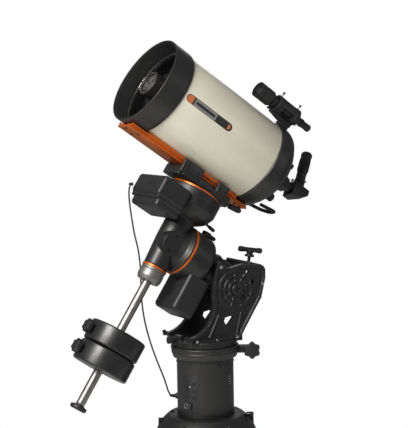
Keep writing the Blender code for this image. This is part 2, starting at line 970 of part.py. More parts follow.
def make_carry_handle():
    """The loop handle under the rear cell, whose bend stands further from the optical axis than its ends."""
    start, end = -0.240, -0.318
    half_width = 0.044
    corner = 0.026
    turn_points = arc((end + corner, half_width - corner), corner, 90, 180, 5)
    near_side = [(start, half_width), *turn_points]
    far_side = [(z, -y) for z, y in reversed(near_side)]
    points = [(-0.1300 + 0.136 * (start - z), y, z) for z, y in near_side + far_side]
    return tube("carry_handle", points, 0.0065, MOULDED, OPTICAL)


# ---------------------------------------------------------------- finder and diagonal


def make_finder():
    """The 50 mm finder in its two-ring bracket. The frame's x runs out from the optical axis."""
    axis = 0.2220
    base = box("finder_bracket", (0.1668, -0.015, -0.185), (0.186, 0.015, -0.142), MOULDED, FINDER)
    body = box("web_tool", (0.180, -0.014, -0.190), (0.192, 0.014, -0.088), None, FINDER)
    tools = [body]
    for label, z in (("front", -0.095), ("rear", -0.182)):
        tools.append(
            turned(
                f"ring_tool_{label}",
                [(0.0345, z + 0.009), (0.0345, z - 0.009), (0.0262, z - 0.009), (0.0262, z + 0.009)],
                None,
                FINDER,
                (axis, 0, 0),
                segments=16,
            )
        )
    union(base, *tools)
    turned(
        "finder_scope",
        [
            (0, -0.002),
            (0.0255, -0.002),
            (0.0258, 0.006),
            (0.0300, 0.006),
            (0.0300, -0.060),
            (0.0240, -0.066),
            (0.0240, -0.196),
            (0.0150, -0.212),
            (0.0130, -0.230),
            (0.0130, -0.262),
            (0.0115, -0.267),
            (0, -0.267),
        ],
        MOULDED,
        FINDER,
        (axis, 0, 0),
        segments=16,
    )


def make_diagonal():
    """The visual back, the star diagonal in it and the eyepiece, with x of the frame along the eyepiece."""
    turned(
        "visual_back",
        [
            (0.0420, -0.2503),
            (0.0420, -0.268),
            (0.0300, -0.274),
            (0.0300, -0.318),
            (0.0205, -0.322),
            (0.0205, -0.342),
            (0.0165, -0.342),
            (0.0165, -0.2503),
        ],
        MOULDED,
        OPTICAL,
        segments=16,
    )
    outline = [(-0.030, -0.3425), (-0.030, -0.372), (0.006, -0.424), (0.030, -0.424), (0.030, -0.3425)]
    prism = plate("star_diagonal", outline, 0.026, MOULDED, DIAGONAL, turn=(pi / 2, 0, 0))
    nose = cylinder("nose_tool", 0.0160, -0.350, -0.290, None, DIAGONAL, segments=16)
    barrel = turned(
        "barrel_tool",
        [(0.0205, 0.062), (0.0205, 0.020), (0.0163, 0.020), (0.0163, 0.062)],
        None,
        DIAGONAL,
        (0, 0, -0.385),
        (0, pi / 2, 0),
        segments=16,
    )
    socket = cylinder("socket_tool", 0.0163, 0.018, 0.080, None, DIAGONAL, (0, 0, -0.385), (0, pi / 2, 0), 16)
    cut(union(prism, nose, barrel), socket)
    turned(
        "eyepiece",
        [
            (0, 0.186),
            (0.0190, 0.186),
            (0.0225, 0.178),
            (0.0225, 0.104),
            (0.0190, 0.094),
            (0.0190, 0.0625),
            (0.0158, 0.0625),
            (0.0158, 0.034),
            (0, 0.034),
        ],
        MOULDED,
        DIAGONAL,
        (0, 0, -0.385),
        (0, pi / 2, 0),
        segments=16,
    )


# ---------------------------------------------------------------- declination cable


def make_cable():
    """The cable from the declination motor to the pier, in two stretches that meet end to end."""
    route = smooth_route(CABLE_ROUTE, CABLE_STEP)
    join = len(smooth_route(CABLE_ROUTE[: CABLE_JOIN + 1], CABLE_STEP)) - 1
    lower = route[join:]
    lower[0] = lower[0] + (lower[1] - lower[0]).normalized() * GAP
    tube("dec_cable_upper", route[: join + 1], CABLE_RADIUS, CABLE)
    tube("dec_cable_lower", lower, CABLE_RADIUS, CABLE)


# ---------------------------------------------------------------- assembly


clear_scene()
PARTS = collection(OBJECT)
CUTTERS = collection("cutters")

CASTING = material("black_casting", (0.035, 0.034, 0.033), 0.45, 0.2)
SATIN_BLACK = material("satin_black", (0.030, 0.030, 0.031), 0.40)
MOULDED = material("moulded_black", (0.028, 0.028, 0.030), 0.50)
ORANGE = material("orange_anodised", (0.58, 0.115, 0.012), 0.32, 0.6)
CREAM = material("cream_paint", (0.74, 0.72, 0.60), 0.38)
STAINLESS = material("stainless_steel", (0.60, 0.58, 0.56), 0.25, 1.0)
SILVER = material("silver_anodised", (0.30, 0.29, 0.28), 0.35, 0.9)
IRON = material("black_iron", (0.022, 0.022, 0.022), 0.35, 0.2)
RUBBER = material("rubber", (0.020, 0.020, 0.020), 0.85)
BRASS = material("brass", (0.70, 0.50, 0.18), 0.35, 1.0)
GLASS = material("coated_glass", (0.10, 0.14, 0.15), 0.05)
MIRROR = material("mirror", (0.85, 0.86, 0.88), 0.03, 1.0)
CABLE = material("cable_grey", (0.060, 0.060, 0.062), 0.60)

POLAR = empty("polar_axis", None, (-AXES_FORWARD, 0, AXES_HEIGHT), (0, LATITUDE - pi / 2, 0))
DECLINATION = empty("declination_axis", POLAR, rotation=(0, pi / 2, 0))
OPTICAL = empty("optical_axis", POLAR, (TUBE_OFFSET, 0, 0))
FINDER = empty("finder_frame", OPTICAL, rotation=(0, 0, FINDER_TURN))
DIAGONAL = empty("diagonal_frame", OPTICAL, rotation=(0, 0, DIAGONAL_TURN))
HANDLE = empty("handle_frame", None, (0.196, 0, AXES_HEIGHT - 0.100), (0, radians(10), 0))

make_hub()
for leg_number, leg_turn in enumerate(leg_turns(), start=1):
    make_leg(leg_number, leg_turn)
make_spreader()
make_pier()
make_fork()
make_altitude_parts()
make_azimuth_knobs()
make_polar_head()
make_declination_head()
make_counterweights()
make_saddle()
make_dovetail()
make_front_end()
make_tube()
make_rear_end()
make_finder()
make_diagonal()
make_cable()
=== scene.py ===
"""Looks of a Schmidt-Cassegrain telescope on a German equatorial mount, a round pier and a tripod.

Every visible part of the frame is rebuilt with round edges, castings, screws and procedural materials.
Metres, +Z up, -X towards the celestial pole. Most pieces are drawn in the frame of the axis they belong to:
POLAR has z to the pole and x towards the tube, DECLINATION has z towards the tube and x away from the pole,
OPTICAL has z to the sky and x away from the saddle.
"""

import json
from math import atan2, cos, pi, radians, sin

import bmesh
import bpy
from mathutils import Matrix, Vector


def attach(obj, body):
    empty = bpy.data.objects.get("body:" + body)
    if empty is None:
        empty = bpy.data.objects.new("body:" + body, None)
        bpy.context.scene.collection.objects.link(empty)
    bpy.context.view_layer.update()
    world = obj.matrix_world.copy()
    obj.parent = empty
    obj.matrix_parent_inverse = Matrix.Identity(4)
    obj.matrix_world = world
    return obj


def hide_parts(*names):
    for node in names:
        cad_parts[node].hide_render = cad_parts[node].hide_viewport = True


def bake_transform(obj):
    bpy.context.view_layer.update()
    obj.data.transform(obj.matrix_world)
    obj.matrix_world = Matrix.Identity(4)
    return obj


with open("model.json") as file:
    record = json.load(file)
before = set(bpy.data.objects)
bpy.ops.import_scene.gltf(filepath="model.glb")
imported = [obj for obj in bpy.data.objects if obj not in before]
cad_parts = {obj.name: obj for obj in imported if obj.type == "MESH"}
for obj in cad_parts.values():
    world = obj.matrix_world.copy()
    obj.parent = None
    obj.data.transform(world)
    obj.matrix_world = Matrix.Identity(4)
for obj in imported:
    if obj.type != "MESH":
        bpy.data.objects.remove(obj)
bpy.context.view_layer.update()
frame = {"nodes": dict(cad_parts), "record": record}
BODY = {
    node: body for body, members in frame["record"]["behaviour"]["bodies"].items() for node in members
}
SLOT = {part["node"]: part["material_slot"] for part in frame["record"]["subparts"]}

# ---------------------------------------------------------------- driving dimensions

GAP = 0.0003
LATITUDE = 34.0
AXES = Vector((-0.144, 0, 1.400))
TUBE_OFFSET = 0.432
TUBE_RADIUS = 0.160
CELL_RADIUS = 0.1666
TUBE_REAR = -0.137
TUBE_FRONT = 0.303
HOOD_FRONT = 0.393
PIER_RADIUS = 0.104
PIER_TOP = 1.0147
HUB_TOP = 0.758
FORK_HALF_WIDTH = 0.088
FORK_PLATE = 0.021
ALTITUDE_AXIS = (-0.022, -0.290)
FORK_AXLE = (0.0841, 1.2196)
LEG_SPLAY = radians(27.0)
LEG_PIVOT = (0.150, 0, 0.655)
LEG_TURNS = (pi, pi + 2 * pi / 3, pi - 2 * pi / 3)
SPREADER_HEIGHT = 0.495
SHAFT_END = -0.650
WEIGHTS = (("upper", -0.4012), ("lower", -0.4788))
WEIGHT_THICKNESS = 0.0745
WEIGHT_RADIUS = 0.104
PANEL_TURN = radians(207.0)
AZIMUTH_ARM_TURN = radians(-31.6)
PORT_TURN = radians(140.0)
PORT_HEIGHT = 0.818
STICKER = 0.00025
FINDER_OFFSET = 0.2220
FINDER_RINGS = (-0.095, -0.182)
DEC_COVER_FRONT = -0.1838
CABLE_RADIUS = 0.003
CABLE_ROUTE = (
    (-0.2412, 0.0800, 1.6090),
    (-0.2490, 0.0800, 1.6080),
    (-0.2545, 0.0802, 1.5960),
    (-0.2565, 0.0804, 1.5740),
    (-0.2545, 0.0806, 1.5400),
    (-0.2480, 0.0808, 1.4900),
    (-0.2380, 0.0810, 1.4300),
    (-0.2240, 0.0812, 1.3700),
    (-0.2170, 0.0815, 1.3110),
    (-0.2155, 0.0820, 1.2500),
    (-0.2130, 0.0825, 1.1800),
    (-0.2040, 0.0830, 1.1150),
    (-0.1890, 0.0840, 1.0550),
    (-0.1690, 0.0860, 0.9950),
    (-0.1470, 0.0880, 0.9400),
    (-0.1260, 0.0890, 0.8900),
    (-0.1145, 0.0890, 0.8560),
    (-0.1080, 0.0875, 0.8340),
    (-0.1013, 0.0845, 0.8215),
    (-0.0965, 0.0810, 0.8184),
    (-0.0916, 0.0769, 0.8180),
)
CABLE_JOINS = (0, 10, 13, 20)


def move(x, y, z):
    return Matrix.Translation((x, y, z))


def turn(degrees, axis):
    return Matrix.Rotation(radians(degrees), 4, axis)


def about_z(angle):
    """A turn about z in radians, where `turn` takes degrees."""
    return Matrix.Rotation(angle, 4, "Z")


WORLD = Matrix.Identity(4)
POLAR = move(*AXES) @ turn(LATITUDE - 90, "Y")
DECLINATION = POLAR @ turn(90, "Y")
OPTICAL = POLAR @ move(TUBE_OFFSET, 0, 0)
FINDER = OPTICAL @ turn(-13, "Z")
DIAGONAL = OPTICAL @ turn(20, "Z")
HANDLE = move(0.196, 0, 1.300) @ turn(10, "Y")


# ---------------------------------------------------------------- materials


class Nodes:
    """Short calls for the nodes of one material."""

    def __init__(self, name):
        self.material = bpy.data.materials.new(name)
        self.material.use_nodes = True
        self.tree = self.material.node_tree
        self.coords = self.add("ShaderNodeTexCoord").outputs["Object"]

    def feed(self, node, inputs):
        """Sets each input to its value, or links it when the value is another node's socket."""
        for key, value in inputs.items():
            socket = node.inputs[key]
            if isinstance(value, bpy.types.NodeSocket):
                self.tree.links.new(value, socket)
            else:
                socket.default_value = (*value, 1.0) if socket.type == "RGBA" else value

    def add(self, kind, inputs=None, **settings):
        node = self.tree.nodes.new(kind)
        for key, value in settings.items():
            setattr(node, key, value)
        self.feed(node, inputs or {})
        return node

    def shade(self, **inputs):
        """Feeds the shader, whose input names are given with underscores, and returns the material."""
        named = {key.replace("_", " "): value for key, value in inputs.items()}
        self.feed(self.tree.nodes["Principled BSDF"], named)
        return self.material

    def place(self, frame_matrix, scale):
        """Coordinates in another frame, with its own scale along each axis."""
        back = frame_matrix.inverted()
        inputs = {"Vector": self.coords, "Rotation": back.to_euler(), "Location": back.translation}
        there = self.add("ShaderNodeMapping", inputs, vector_type="POINT").outputs["Vector"]
        return self.add("ShaderNodeMapping", {"Vector": there, "Scale": scale},
            vector_type="POINT").outputs["Vector"]

    def noise(self, coords, scale, detail):
        inputs = {"Vector": coords, "Scale": scale, "Detail": detail}
        return self.add("ShaderNodeTexNoise", inputs).outputs["Fac"]

    def spread(self, value, low, high, start=0.3, end=0.7):
        inputs = {"Value": value, "From Min": start, "From Max": end, "To Min": low, "To Max": high}
        return self.add("ShaderNodeMapRange", inputs).outputs["Result"]

    def blend(self, factor, first, second):
        return self.add("ShaderNodeMix", {"Factor": factor, 6: first, 7: second},
            data_type="RGBA").outputs[2]

    def bump(self, height, depth):
        inputs = {"Strength": 1.0, "Distance": depth, "Height": height}
        return self.add("ShaderNodeBump", inputs).outputs["Normal"]


def scaled(colour, factor):
    """A lighter or darker colour."""
    return tuple((min(1.0, channel * factor) for channel in colour))


def surface(name, colour, roughness, metal=0.0, tone=0.15, grain=900.0, depth=0.0001, worn=0.0,
    lines=None, **sockets):
    """A finish with soft tone drift, uneven gloss, a fine grain, and optional worn edges or drawn lines."""
    made = Nodes(name)
    drift = made.noise(made.coords, 7.0, 4.0)
    smudge = made.noise(made.coords, 38.0, 5.0)
    base = made.blend(made.spread(drift, 0.0, 1.0), scaled(colour, 1 - tone), scaled(colour, 1 + tone))
    base = made.blend(made.spread(smudge, 0.0, 0.25), base, scaled(colour, 1 + 1.5 * tone))
    if worn:
        edge = made.add("ShaderNodeNewGeometry").outputs["Pointiness"]
        base = made.blend(made.spread(edge, 0.0, worn, 0.52, 0.6), base, scaled(colour, 4.0))
    coords, scale = (made.place(*lines), 1.0) if lines else (made.coords, grain)
    return made.shade(Base_Color=base, Metallic=metal,
        Roughness=made.spread(smudge, roughness * 0.88, roughness * 1.14),
        Normal=made.bump(made.noise(coords, scale, 2.0), depth), **sockets)


def spun(frame_matrix, fine):
    """Fine lines left by turning: the pattern changes quickly along the axis and hardly around it."""
    return frame_matrix, (12.0, 12.0, fine)


BLACK = (0.0115, 0.0112, 0.0112)
COAT = {"Coat_Weight": 0.14, "Coat_Roughness": 0.20}
LOOKS = {
    "casting": surface("black_casting", BLACK, 0.44, grain=650.0, depth=0.00022, worn=0.25, **COAT),
    "satin_black": surface("satin_black", (0.016, 0.0152, 0.0148), 0.46, grain=1200.0, depth=0.0001,
        **COAT),
    "moulded": surface("moulded_black", (0.015, 0.015, 0.016), 0.46, grain=1700.0, depth=0.00012),
    "orange": surface("orange_anodised", (0.66, 0.145, 0.018), 0.36, metal=0.55, tone=0.1,
        lines=(DECLINATION, (18.0, 900.0, 900.0)), depth=0.00001),
    "cream": surface("cream_paint", (0.8, 0.765, 0.61), 0.33, tone=0.035, grain=420.0, depth=0.00003,
        Coat_Weight=0.45, Coat_Roughness=0.12),
    "stainless": surface("turned_steel", (0.34, 0.32, 0.3), 0.42, metal=1.0, tone=0.08,
        lines=spun(DECLINATION, 260.0), depth=0.000004),
    "silver": surface("silver_anodised", (0.26, 0.255, 0.245), 0.48, metal=0.85, tone=0.08,
        lines=spun(DECLINATION, 260.0), depth=0.000006),
    "iron": surface("black_iron", (0.014, 0.014, 0.014), 0.36, grain=380.0, depth=0.00025, worn=0.15,
        **COAT),
    "rubber": surface("rubber", (0.022, 0.022, 0.022), 0.78, grain=800.0, depth=0.0003),
    "cable": surface("cable_jacket", (0.045, 0.045, 0.047), 0.5, grain=700.0, depth=0.0001),
    "mirror": surface("first_surface_mirror", (0.86, 0.87, 0.89), 0.03, metal=1.0, tone=0.02, depth=0.0),
}
FLOCKED = surface("flat_black", (0.010, 0.010, 0.010), 0.85, grain=1500.0, depth=0.0002)
SCREW = surface("black_oxide_screw", (0.05, 0.05, 0.052), 0.30, metal=0.9)
BRIGHT = surface("bright_screw", (0.62, 0.61, 0.60), 0.26, metal=1.0)
LEG_STEEL = surface("leg_steel", (0.60, 0.58, 0.56), 0.22, metal=1.0, tone=0.06, grain=60.0, depth=0.00005)
DARK_GLASS = surface(
    "coated_lens",
    (0.012, 0.010, 0.022),
    0.04,
    depth=0.0,
    Coat_Weight=1.0,
    Coat_Roughness=0.02,
    IOR=1.7,
)
BADGE_GREY = surface("badge_grey", (0.25, 0.245, 0.24), 0.35, tone=0.1, depth=0.00002)
BADGE_DARK = surface("badge_dark", (0.022, 0.022, 0.021), 0.35, depth=0.00002)
BADGE_ORANGE = surface("badge_orange", (0.60, 0.17, 0.05), 0.35, tone=0.12, depth=0.00002)
PALE_MARK = surface("pale_mark", (0.45, 0.45, 0.44), 0.45, tone=0.05, depth=0.0)


def corrector_glass():
    """Thin coated glass: it lets the dark inside show and adds a faint warm sheen."""
    made = Nodes("corrector_glass")
    haze = made.noise(made.coords, 9.0, 4.0)
    return made.shade(Base_Color=made.blend(made.spread(haze, 0.0, 1.0), (0.72, 0.7, 0.7),
        (0.8, 0.76, 0.76)), Roughness=made.spread(haze, 0.02, 0.07), Transmission_Weight=1.0, IOR=1.46,
        Coat_Weight=0.3, Coat_Roughness=0.05)


LOOKS["glass"] = corrector_glass()
# Near-black for the two holes in the declination facet: painted shade that stands in for the shade inside
# them.
FACET_HOLE_SHADE = surface("painted_hole_shade", (0.002, 0.002, 0.002), 0.9, depth=0.0)

# ---------------------------------------------------------------- mesh helpers


def soften(profile, radius, count=3):
    """Rounds the corners of a (radius, z) profile, open at its ends when it starts on the axis."""
    points = [Vector(point) for point in profile]
    closed = profile[0][0] > 0
    made = []
    for index, corner in enumerate(points):
        if not closed and index in (0, len(points) - 1):
            made.append(corner)
            continue
        before = points[index - 1] - corner
        after = points[(index + 1) % len(points)] - corner
        reach = min(radius, 0.45 * before.length, 0.45 * after.length)
        start = corner + before.normalized() * reach
        end = corner + after.normalized() * reach
        for step in range(count + 1):
            t = step / count
            made.append(start * (1 - t) ** 2 + corner * 2 * t * (1 - t) + end * t ** 2)
    return [(point.x, point.y) for point in made]


def turned(bm, profile, at=WORLD, steps=96, soft=0.0008):
    """A shape turned about z. Its profile runs down the outer side to the axis, or closes on itself."""
    smooth = soften(profile, soft) if soft else profile
    rings = []
    for radius, z in smooth:
        places = [(0, 0, z)]
        if radius > 0.000001:
            angles = [2 * pi * index / steps for index in range(steps)]
            places = [(radius * cos(angle), radius * sin(angle), z) for angle in angles]
        rings.append([bm.verts.new(at @ Vector(place)) for place in places])
    pairs = list(zip(rings, rings[1:]))
    if profile[0][0] > 0.000001:
        pairs.append((rings[-1], rings[0]))
    for first, second in pairs:
        for index in range(steps):
            after = (index + 1) % steps
            corners = [first[index % len(first)], second[index % len(second)],
                second[after % len(second)], first[after % len(first)]]
            corners = list(dict.fromkeys(corners))
            if len(corners) > 2:
                bm.faces.new(corners)


def ring(bm, outer, inner, high, low, at=WORLD, steps=96, soft=0.0008):
    """A turned ring between two radii and two heights."""
    turned(bm, [(outer, high), (outer, low), (inner, low), (inner, high)], at, steps, soft)


def rod(bm, radius, low, high, at=WORLD, steps=48, soft=0.0008):
    turned(bm, [(0, high), (radius, high), (radius, low), (0, low)], at, steps, soft)


def merge(bm, part, at):
    """Adds a part to bm, moved to its place, and frees the part."""
    part.transform(at)
    mesh = as_mesh("part", part)
    bm.from_mesh(mesh)
    bpy.data.meshes.remove(mesh)


def round_edges(part, width, segments):
    sharp = [edge for edge in part.edges if edge.is_manifold and edge.calc_face_angle() > radians(35)]
    bmesh.ops.bevel(part, geom=sharp, offset=width, segments=segments, profile=0.5, affect="EDGES",
        clamp_overlap=True)


def block(bm, low, high, at=WORLD, edge=0.0015, segments=3):
    """A box with round edges between two corners."""
    part = bmesh.new()
    bmesh.ops.create_cube(part, size=1.0)
    size = Vector(high) - Vector(low)
    bmesh.ops.scale(part, verts=part.verts, vec=size)
    bmesh.ops.translate(part, verts=part.verts, vec=(Vector(low) + Vector(high)) / 2)
    if edge:
        round_edges(part, edge, segments)
    merge(bm, part, at)


def prism(bm, outline, low, high, at=WORLD, edge=0.001, segments=2):
    """An outline in xy, extruded from z = low to z = high, with round rims."""
    part = bmesh.new()
    base = part.faces.new([part.verts.new((x, y, low)) for x, y in outline])
    raised = bmesh.ops.extrude_face_region(part, geom=[base])["geom"]
    tops = [item for item in raised if isinstance(item, bmesh.types.BMVert)]
    bmesh.ops.translate(part, verts=tops, vec=(0, 0, high - low))
    bmesh.ops.recalc_face_normals(part, faces=part.faces)
    if edge:
        round_edges(part, edge, segments)
    merge(bm, part, at)


def rod_along(bm, points, radius, sides=14):
    """A round bar along a list of points, closed with flat ends."""
    places = [Vector(point) for point in points]
    direction = (places[1] - places[0]).normalized()
    side = direction.orthogonal().normalized()
    rings = []
    for index, place in enumerate(places):
        ahead = places[min(index + 1, len(places) - 1)] - places[max(index - 1, 0)]
        ahead.normalize()
        side = (side - ahead * side.dot(ahead)).normalized()
        across = ahead.cross(side)
        angles = [2 * pi * step / sides for step in range(sides)]
        spokes = [(side * cos(angle) + across * sin(angle)) * radius for angle in angles]
        rings.append([bm.verts.new(place + spoke) for spoke in spokes])
    for first, second in zip(rings, rings[1:]):
        for step in range(sides):
            after = (step + 1) % sides
            bm.faces.new((first[step], first[after], second[after], second[step]))
    bm.faces.new(list(reversed(rings[0])))
    bm.faces.new(rings[-1])


def lobes(radius, depth, count, each=12):
    """The outline of a knob with round lobes, or of a fluted rim."""
    outline = []
    for index in range(count * each):
        angle = 2 * pi * index / (count * each)
        reach = radius - depth * (0.5 - 0.5 * cos(count * angle))
        outline.append((reach * cos(angle), reach * sin(angle)))
    return outline


def arc(centre, radius, start, end, count):
    """Points on an arc between two angles in degrees."""
    steps = [radians(start + (end - start) * index / (count - 1)) for index in range(count)]
    return [(centre[0] + radius * cos(angle), centre[1] + radius * sin(angle)) for angle in steps]


def drawn(shape, *how, **more):
    """A new bmesh with one shape in it."""
    bm = bmesh.new()
    shape(bm, *how, **more)
    return bm


def linked(name, data):
    """A new object in the scene."""
    made = bpy.data.objects.new(name, data)
    bpy.context.scene.collection.objects.link(made)
    return made


def as_mesh(name, bm):
    mesh = bpy.data.meshes.new(name)
    bm.to_mesh(mesh)
    bm.free()
    return mesh


def solid(name, bm, material, sharp=38):
    """An object that is shaded smooth, apart from edges sharper than an angle in degrees."""
    mesh = as_mesh(name, bm)
    mesh.shade_smooth()
    mesh.set_sharp_from_angle(angle=radians(sharp))
    mesh.materials.append(material)
    return linked(name, mesh)


def temporary(bm):
    bmesh.ops.recalc_face_normals(bm, faces=bm.faces)
    return linked("temporary", as_mesh("temporary", bm))


def evaluated(obj, *others):
    """The mesh of an object after its modifiers, as a bmesh. The objects are removed."""
    graph = bpy.context.evaluated_depsgraph_get()
    mesh = bpy.data.meshes.new_from_object(obj.evaluated_get(graph))
    bm = bmesh.new()
    bm.from_mesh(mesh)
    bpy.data.meshes.remove(mesh)
    for used in (obj, *others):
        bpy.data.objects.remove(used)
    return bm


def carved(bm, tool):
    """bm with the shape of the tool taken out of it."""
    target, cutter = temporary(bm), temporary(tool)
    modifier = target.modifiers.new("Carve", "BOOLEAN")
    modifier.operation = "DIFFERENCE"
    modifier.object = cutter
    return evaluated(target, cutter)


def cast(bm, voxel=0.0022, rounds=5):
    """Melts overlapping shapes into one casting with small fillets."""
    target = temporary(bm)
    remesh = target.modifiers.new("Melt", "REMESH")
    remesh.mode = "VOXEL"
    remesh.voxel_size = voxel
    smooth = target.modifiers.new("Fillet", "SMOOTH")
    smooth.factor = 0.5
    smooth.iterations = rounds
    return evaluated(target)


def piece(name, bm, material, body, at=WORLD, sharp=38):
    """Makes a visible piece that rides on a body of the frame."""
    bmesh.ops.recalc_face_normals(bm, faces=bm.faces)
    bm.transform(at)
    made = solid(name, bm, material, sharp)
    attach(made, body)
    return made


def fine(node, bm, at=WORLD, material=None, sharp=38):
    """The fine piece that stands for a CAD node."""
    slot = SLOT[node]
    made = piece(f"{node}_fine", bm, material or LOOKS[slot], BODY[node], at, sharp)
    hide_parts(node)


def extra(name, bm, beside, at=WORLD, slot="moulded", material=None):
    """A small piece that the CAD model doesn't have, on the body of a CAD node beside it."""
    piece(name, bm, material or LOOKS[slot], BODY[beside], at)


def screw(bm, at, radius, height):
    """A socket-head screw that stands on z = 0 of its place."""
    profile = [(0, height * 0.45), (radius * 0.5, height * 0.45), (radius * 0.55, height),
        (radius, height), (radius, -0.001), (0, -0.001)]
    turned(bm, profile, at, 18, radius * 0.12)


def circle(count, reach, z, start):
    """Places on a circle about z, with their own z straight up."""
    angles = [start + 2 * pi * index / count for index in range(count)]
    return [move(reach * cos(angle), reach * sin(angle), z) for angle in angles]


def screws(name, beside, places, radius, height, at=WORLD, slot="casting", material=None):
    """One piece with a screw at each place."""
    bm = bmesh.new()
    for place in places:
        screw(bm, place, radius, height)
    extra(name, bm, beside, at, slot, material or SCREW)


def radial(angle, height, reach):
    """A place on a drum about z: its z points straight out of the drum."""
    return about_z(angle) @ move(reach, 0, height) @ turn(90, "Y")


def hand_knob(bm, radius, height, neck, neck_length, at):
    """A lobed hand knob on a round neck, with a cap in the middle of its face."""
    prism(bm, lobes(radius, 0.19 * radius, 6), neck_length, height, at, 0.0022, 3)
    rod(bm, neck, 0, neck_length + 0.002, at, 40)
    rod(bm, radius * 0.42, height - 0.002, height + 0.0002, at, 40)


# ---------------------------------------------------------------- camera, light and floor


def make_camera():
    """The view from the left front, a little above the axes, with a slight roll."""
    azimuth, elevation, roll = radians(-30.95), radians(5.42), radians(-0.97)
    back = Vector((sin(azimuth) * cos(elevation), -cos(azimuth) * cos(elevation), sin(elevation)))
    flat = Vector((cos(azimuth), sin(azimuth), 0))
    right = flat * cos(roll) + back.cross(flat) * sin(roll)
    above = back.cross(right)
    target = Vector((0.006, 0, 1.4916))
    data = bpy.data.cameras.new("camera")
    data.lens = 100.65
    data.sensor_width = 36.0
    camera = linked("camera", data)
    turned_to = Matrix((right, above, back)).transposed().to_4x4()
    camera.matrix_world = Matrix.Translation(target + back * 4.344) @ turned_to
    bpy.context.scene.camera = camera


def area_light(name, place, target, size, power, colour=(1, 1, 1)):
    data = bpy.data.lights.new(name, "AREA")
    data.shape = "RECTANGLE"
    data.size, data.size_y = size
    data.energy = power
    data.color = colour
    light = linked(name, data)
    light.location = place
    light.rotation_euler = (Vector(target) - Vector(place)).to_track_quat("-Z", "Y").to_euler()


def make_studio():
    """A white surround, four soft boxes, and a round pale floor under the tripod."""
    scene = bpy.context.scene
    scene.view_settings.view_transform = "Standard"
    world = bpy.data.worlds.new("studio")
    scene.world = world
    world.use_nodes = True
    tree = world.node_tree
    surround = tree.nodes["Background"]
    surround.inputs["Color"].default_value = (0.95, 0.97, 1.0, 1.0)
    surround.inputs["Strength"].default_value = 0.17
    backdrop = tree.nodes.new("ShaderNodeBackground")
    backdrop.inputs["Color"].default_value = (1, 1, 1, 1)
    backdrop.inputs["Strength"].default_value = 1.0
    path = tree.nodes.new("ShaderNodeLightPath")
    choice = tree.nodes.new("ShaderNodeMixShader")
    tree.links.new(path.outputs["Is Camera Ray"], choice.inputs["Fac"])
    tree.links.new(surround.outputs["Background"], choice.inputs[1])
    tree.links.new(backdrop.outputs["Background"], choice.inputs[2])
    tree.links.new(choice.outputs["Shader"], tree.nodes["World Output"].inputs["Surface"])
    middle = (0, 0, 1.5)
    area_light("key_light", (-3.1, -1.5, 3.9), middle, (1.8, 1.4), 225, (1.0, 0.985, 0.96))
    area_light("fill_light", (2.8, -3.2, 2.0), middle, (1.6, 2.2), 9)
    area_light("back_light", (1.6, 2.6, 3.2), middle, (1.6, 1.2), 12)
    area_light("low_light", (-3.2, -0.6, 0.9), middle, (1.0, 1.6), 8)
    paint = surface("floor_paint", (0.93, 0.93, 0.92), 0.6, tone=0.02, grain=40.0, depth=0.0002)
    solid("floor", drawn(rod, 2.15, -0.03, -0.0002, WORLD, 128, 0.01), paint)


# ---------------------------------------------------------------- declination cable


def smooth_route(points, step):
    """Points about `step` apart on a Catmull-Rom curve, with the index of each knot on it."""
    knots = [Vector(point) for point in points]
    knots = [2 * knots[0] - knots[1], *knots, 2 * knots[-1] - knots[-2]]
    route, marks = [], []
    for a, b, c, d in zip(knots, knots[1:], knots[2:], knots[3:]):
        count = max(2, round((c - b).length / step))
        marks.append(len(route))
        for index in range(count):
            t = index / count
            square = (2 * a - 5 * b + 4 * c - d) * t ** 2
            cube = (3 * b - a - 3 * c + d) * t ** 3
            route.append(0.5 * (2 * b + (c - a) * t + square + cube))
    marks.append(len(route))
    return [*route, knots[-2]], marks


def make_cable():
    """The cable from the declination motor to the pier, in three stretches."""
    route, marks = smooth_route(CABLE_ROUTE, 0.008)
    stretches = (("dec_cable_top", "declination_head", "polar_head", "dec_cable_upper"),
        ("dec_cable_middle", "polar_head", "fork", "dec_cable_lower"),
        ("dec_cable_bottom", "fork", "tripod_head", "dec_cable_lower"))
    for (name, first, second, node), start, end in zip(stretches, CABLE_JOINS, CABLE_JOINS[1:]):
        points = route[marks[start]:marks[end] + 1]
        made = solid(name, drawn(rod_along, points, CABLE_RADIUS, 16), LOOKS["cable"], 60)
        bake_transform(made)
        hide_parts(node)
    make_cable_ends(route)


def make_cable_ends(route):
    """The moulded strain reliefs at both ends of the cable."""
    ends = (("cable_relief_top", route[:4], "dec_motor_cover"),
        ("cable_relief_bottom", route[-4:][::-1], "pier_column"))
    for name, points, beside in ends:
        aim = (points[1] - points[0]).to_track_quat("Z", "Y").to_matrix().to_4x4()
        bm = bmesh.new()
        profile = [(0, 0.0145), (0.0036, 0.0145), (0.0042, 0.01), (0.0058, 0.004), (0.0066, 0.0),
            (0, 0.0)]
        turned(bm, profile, WORLD, 40, 0.0006)
        for height in (0.0048, 0.008, 0.0112):
            radius = 0.0062 - 0.14 * height
            ring(bm, radius, 0.0033, height + 0.0008, height - 0.0008, WORLD, 40, 0.0003)
        extra(name, bm, beside, Matrix.Translation(points[0]) @ aim, "rubber")


# ---------------------------------------------------------------- optical tube


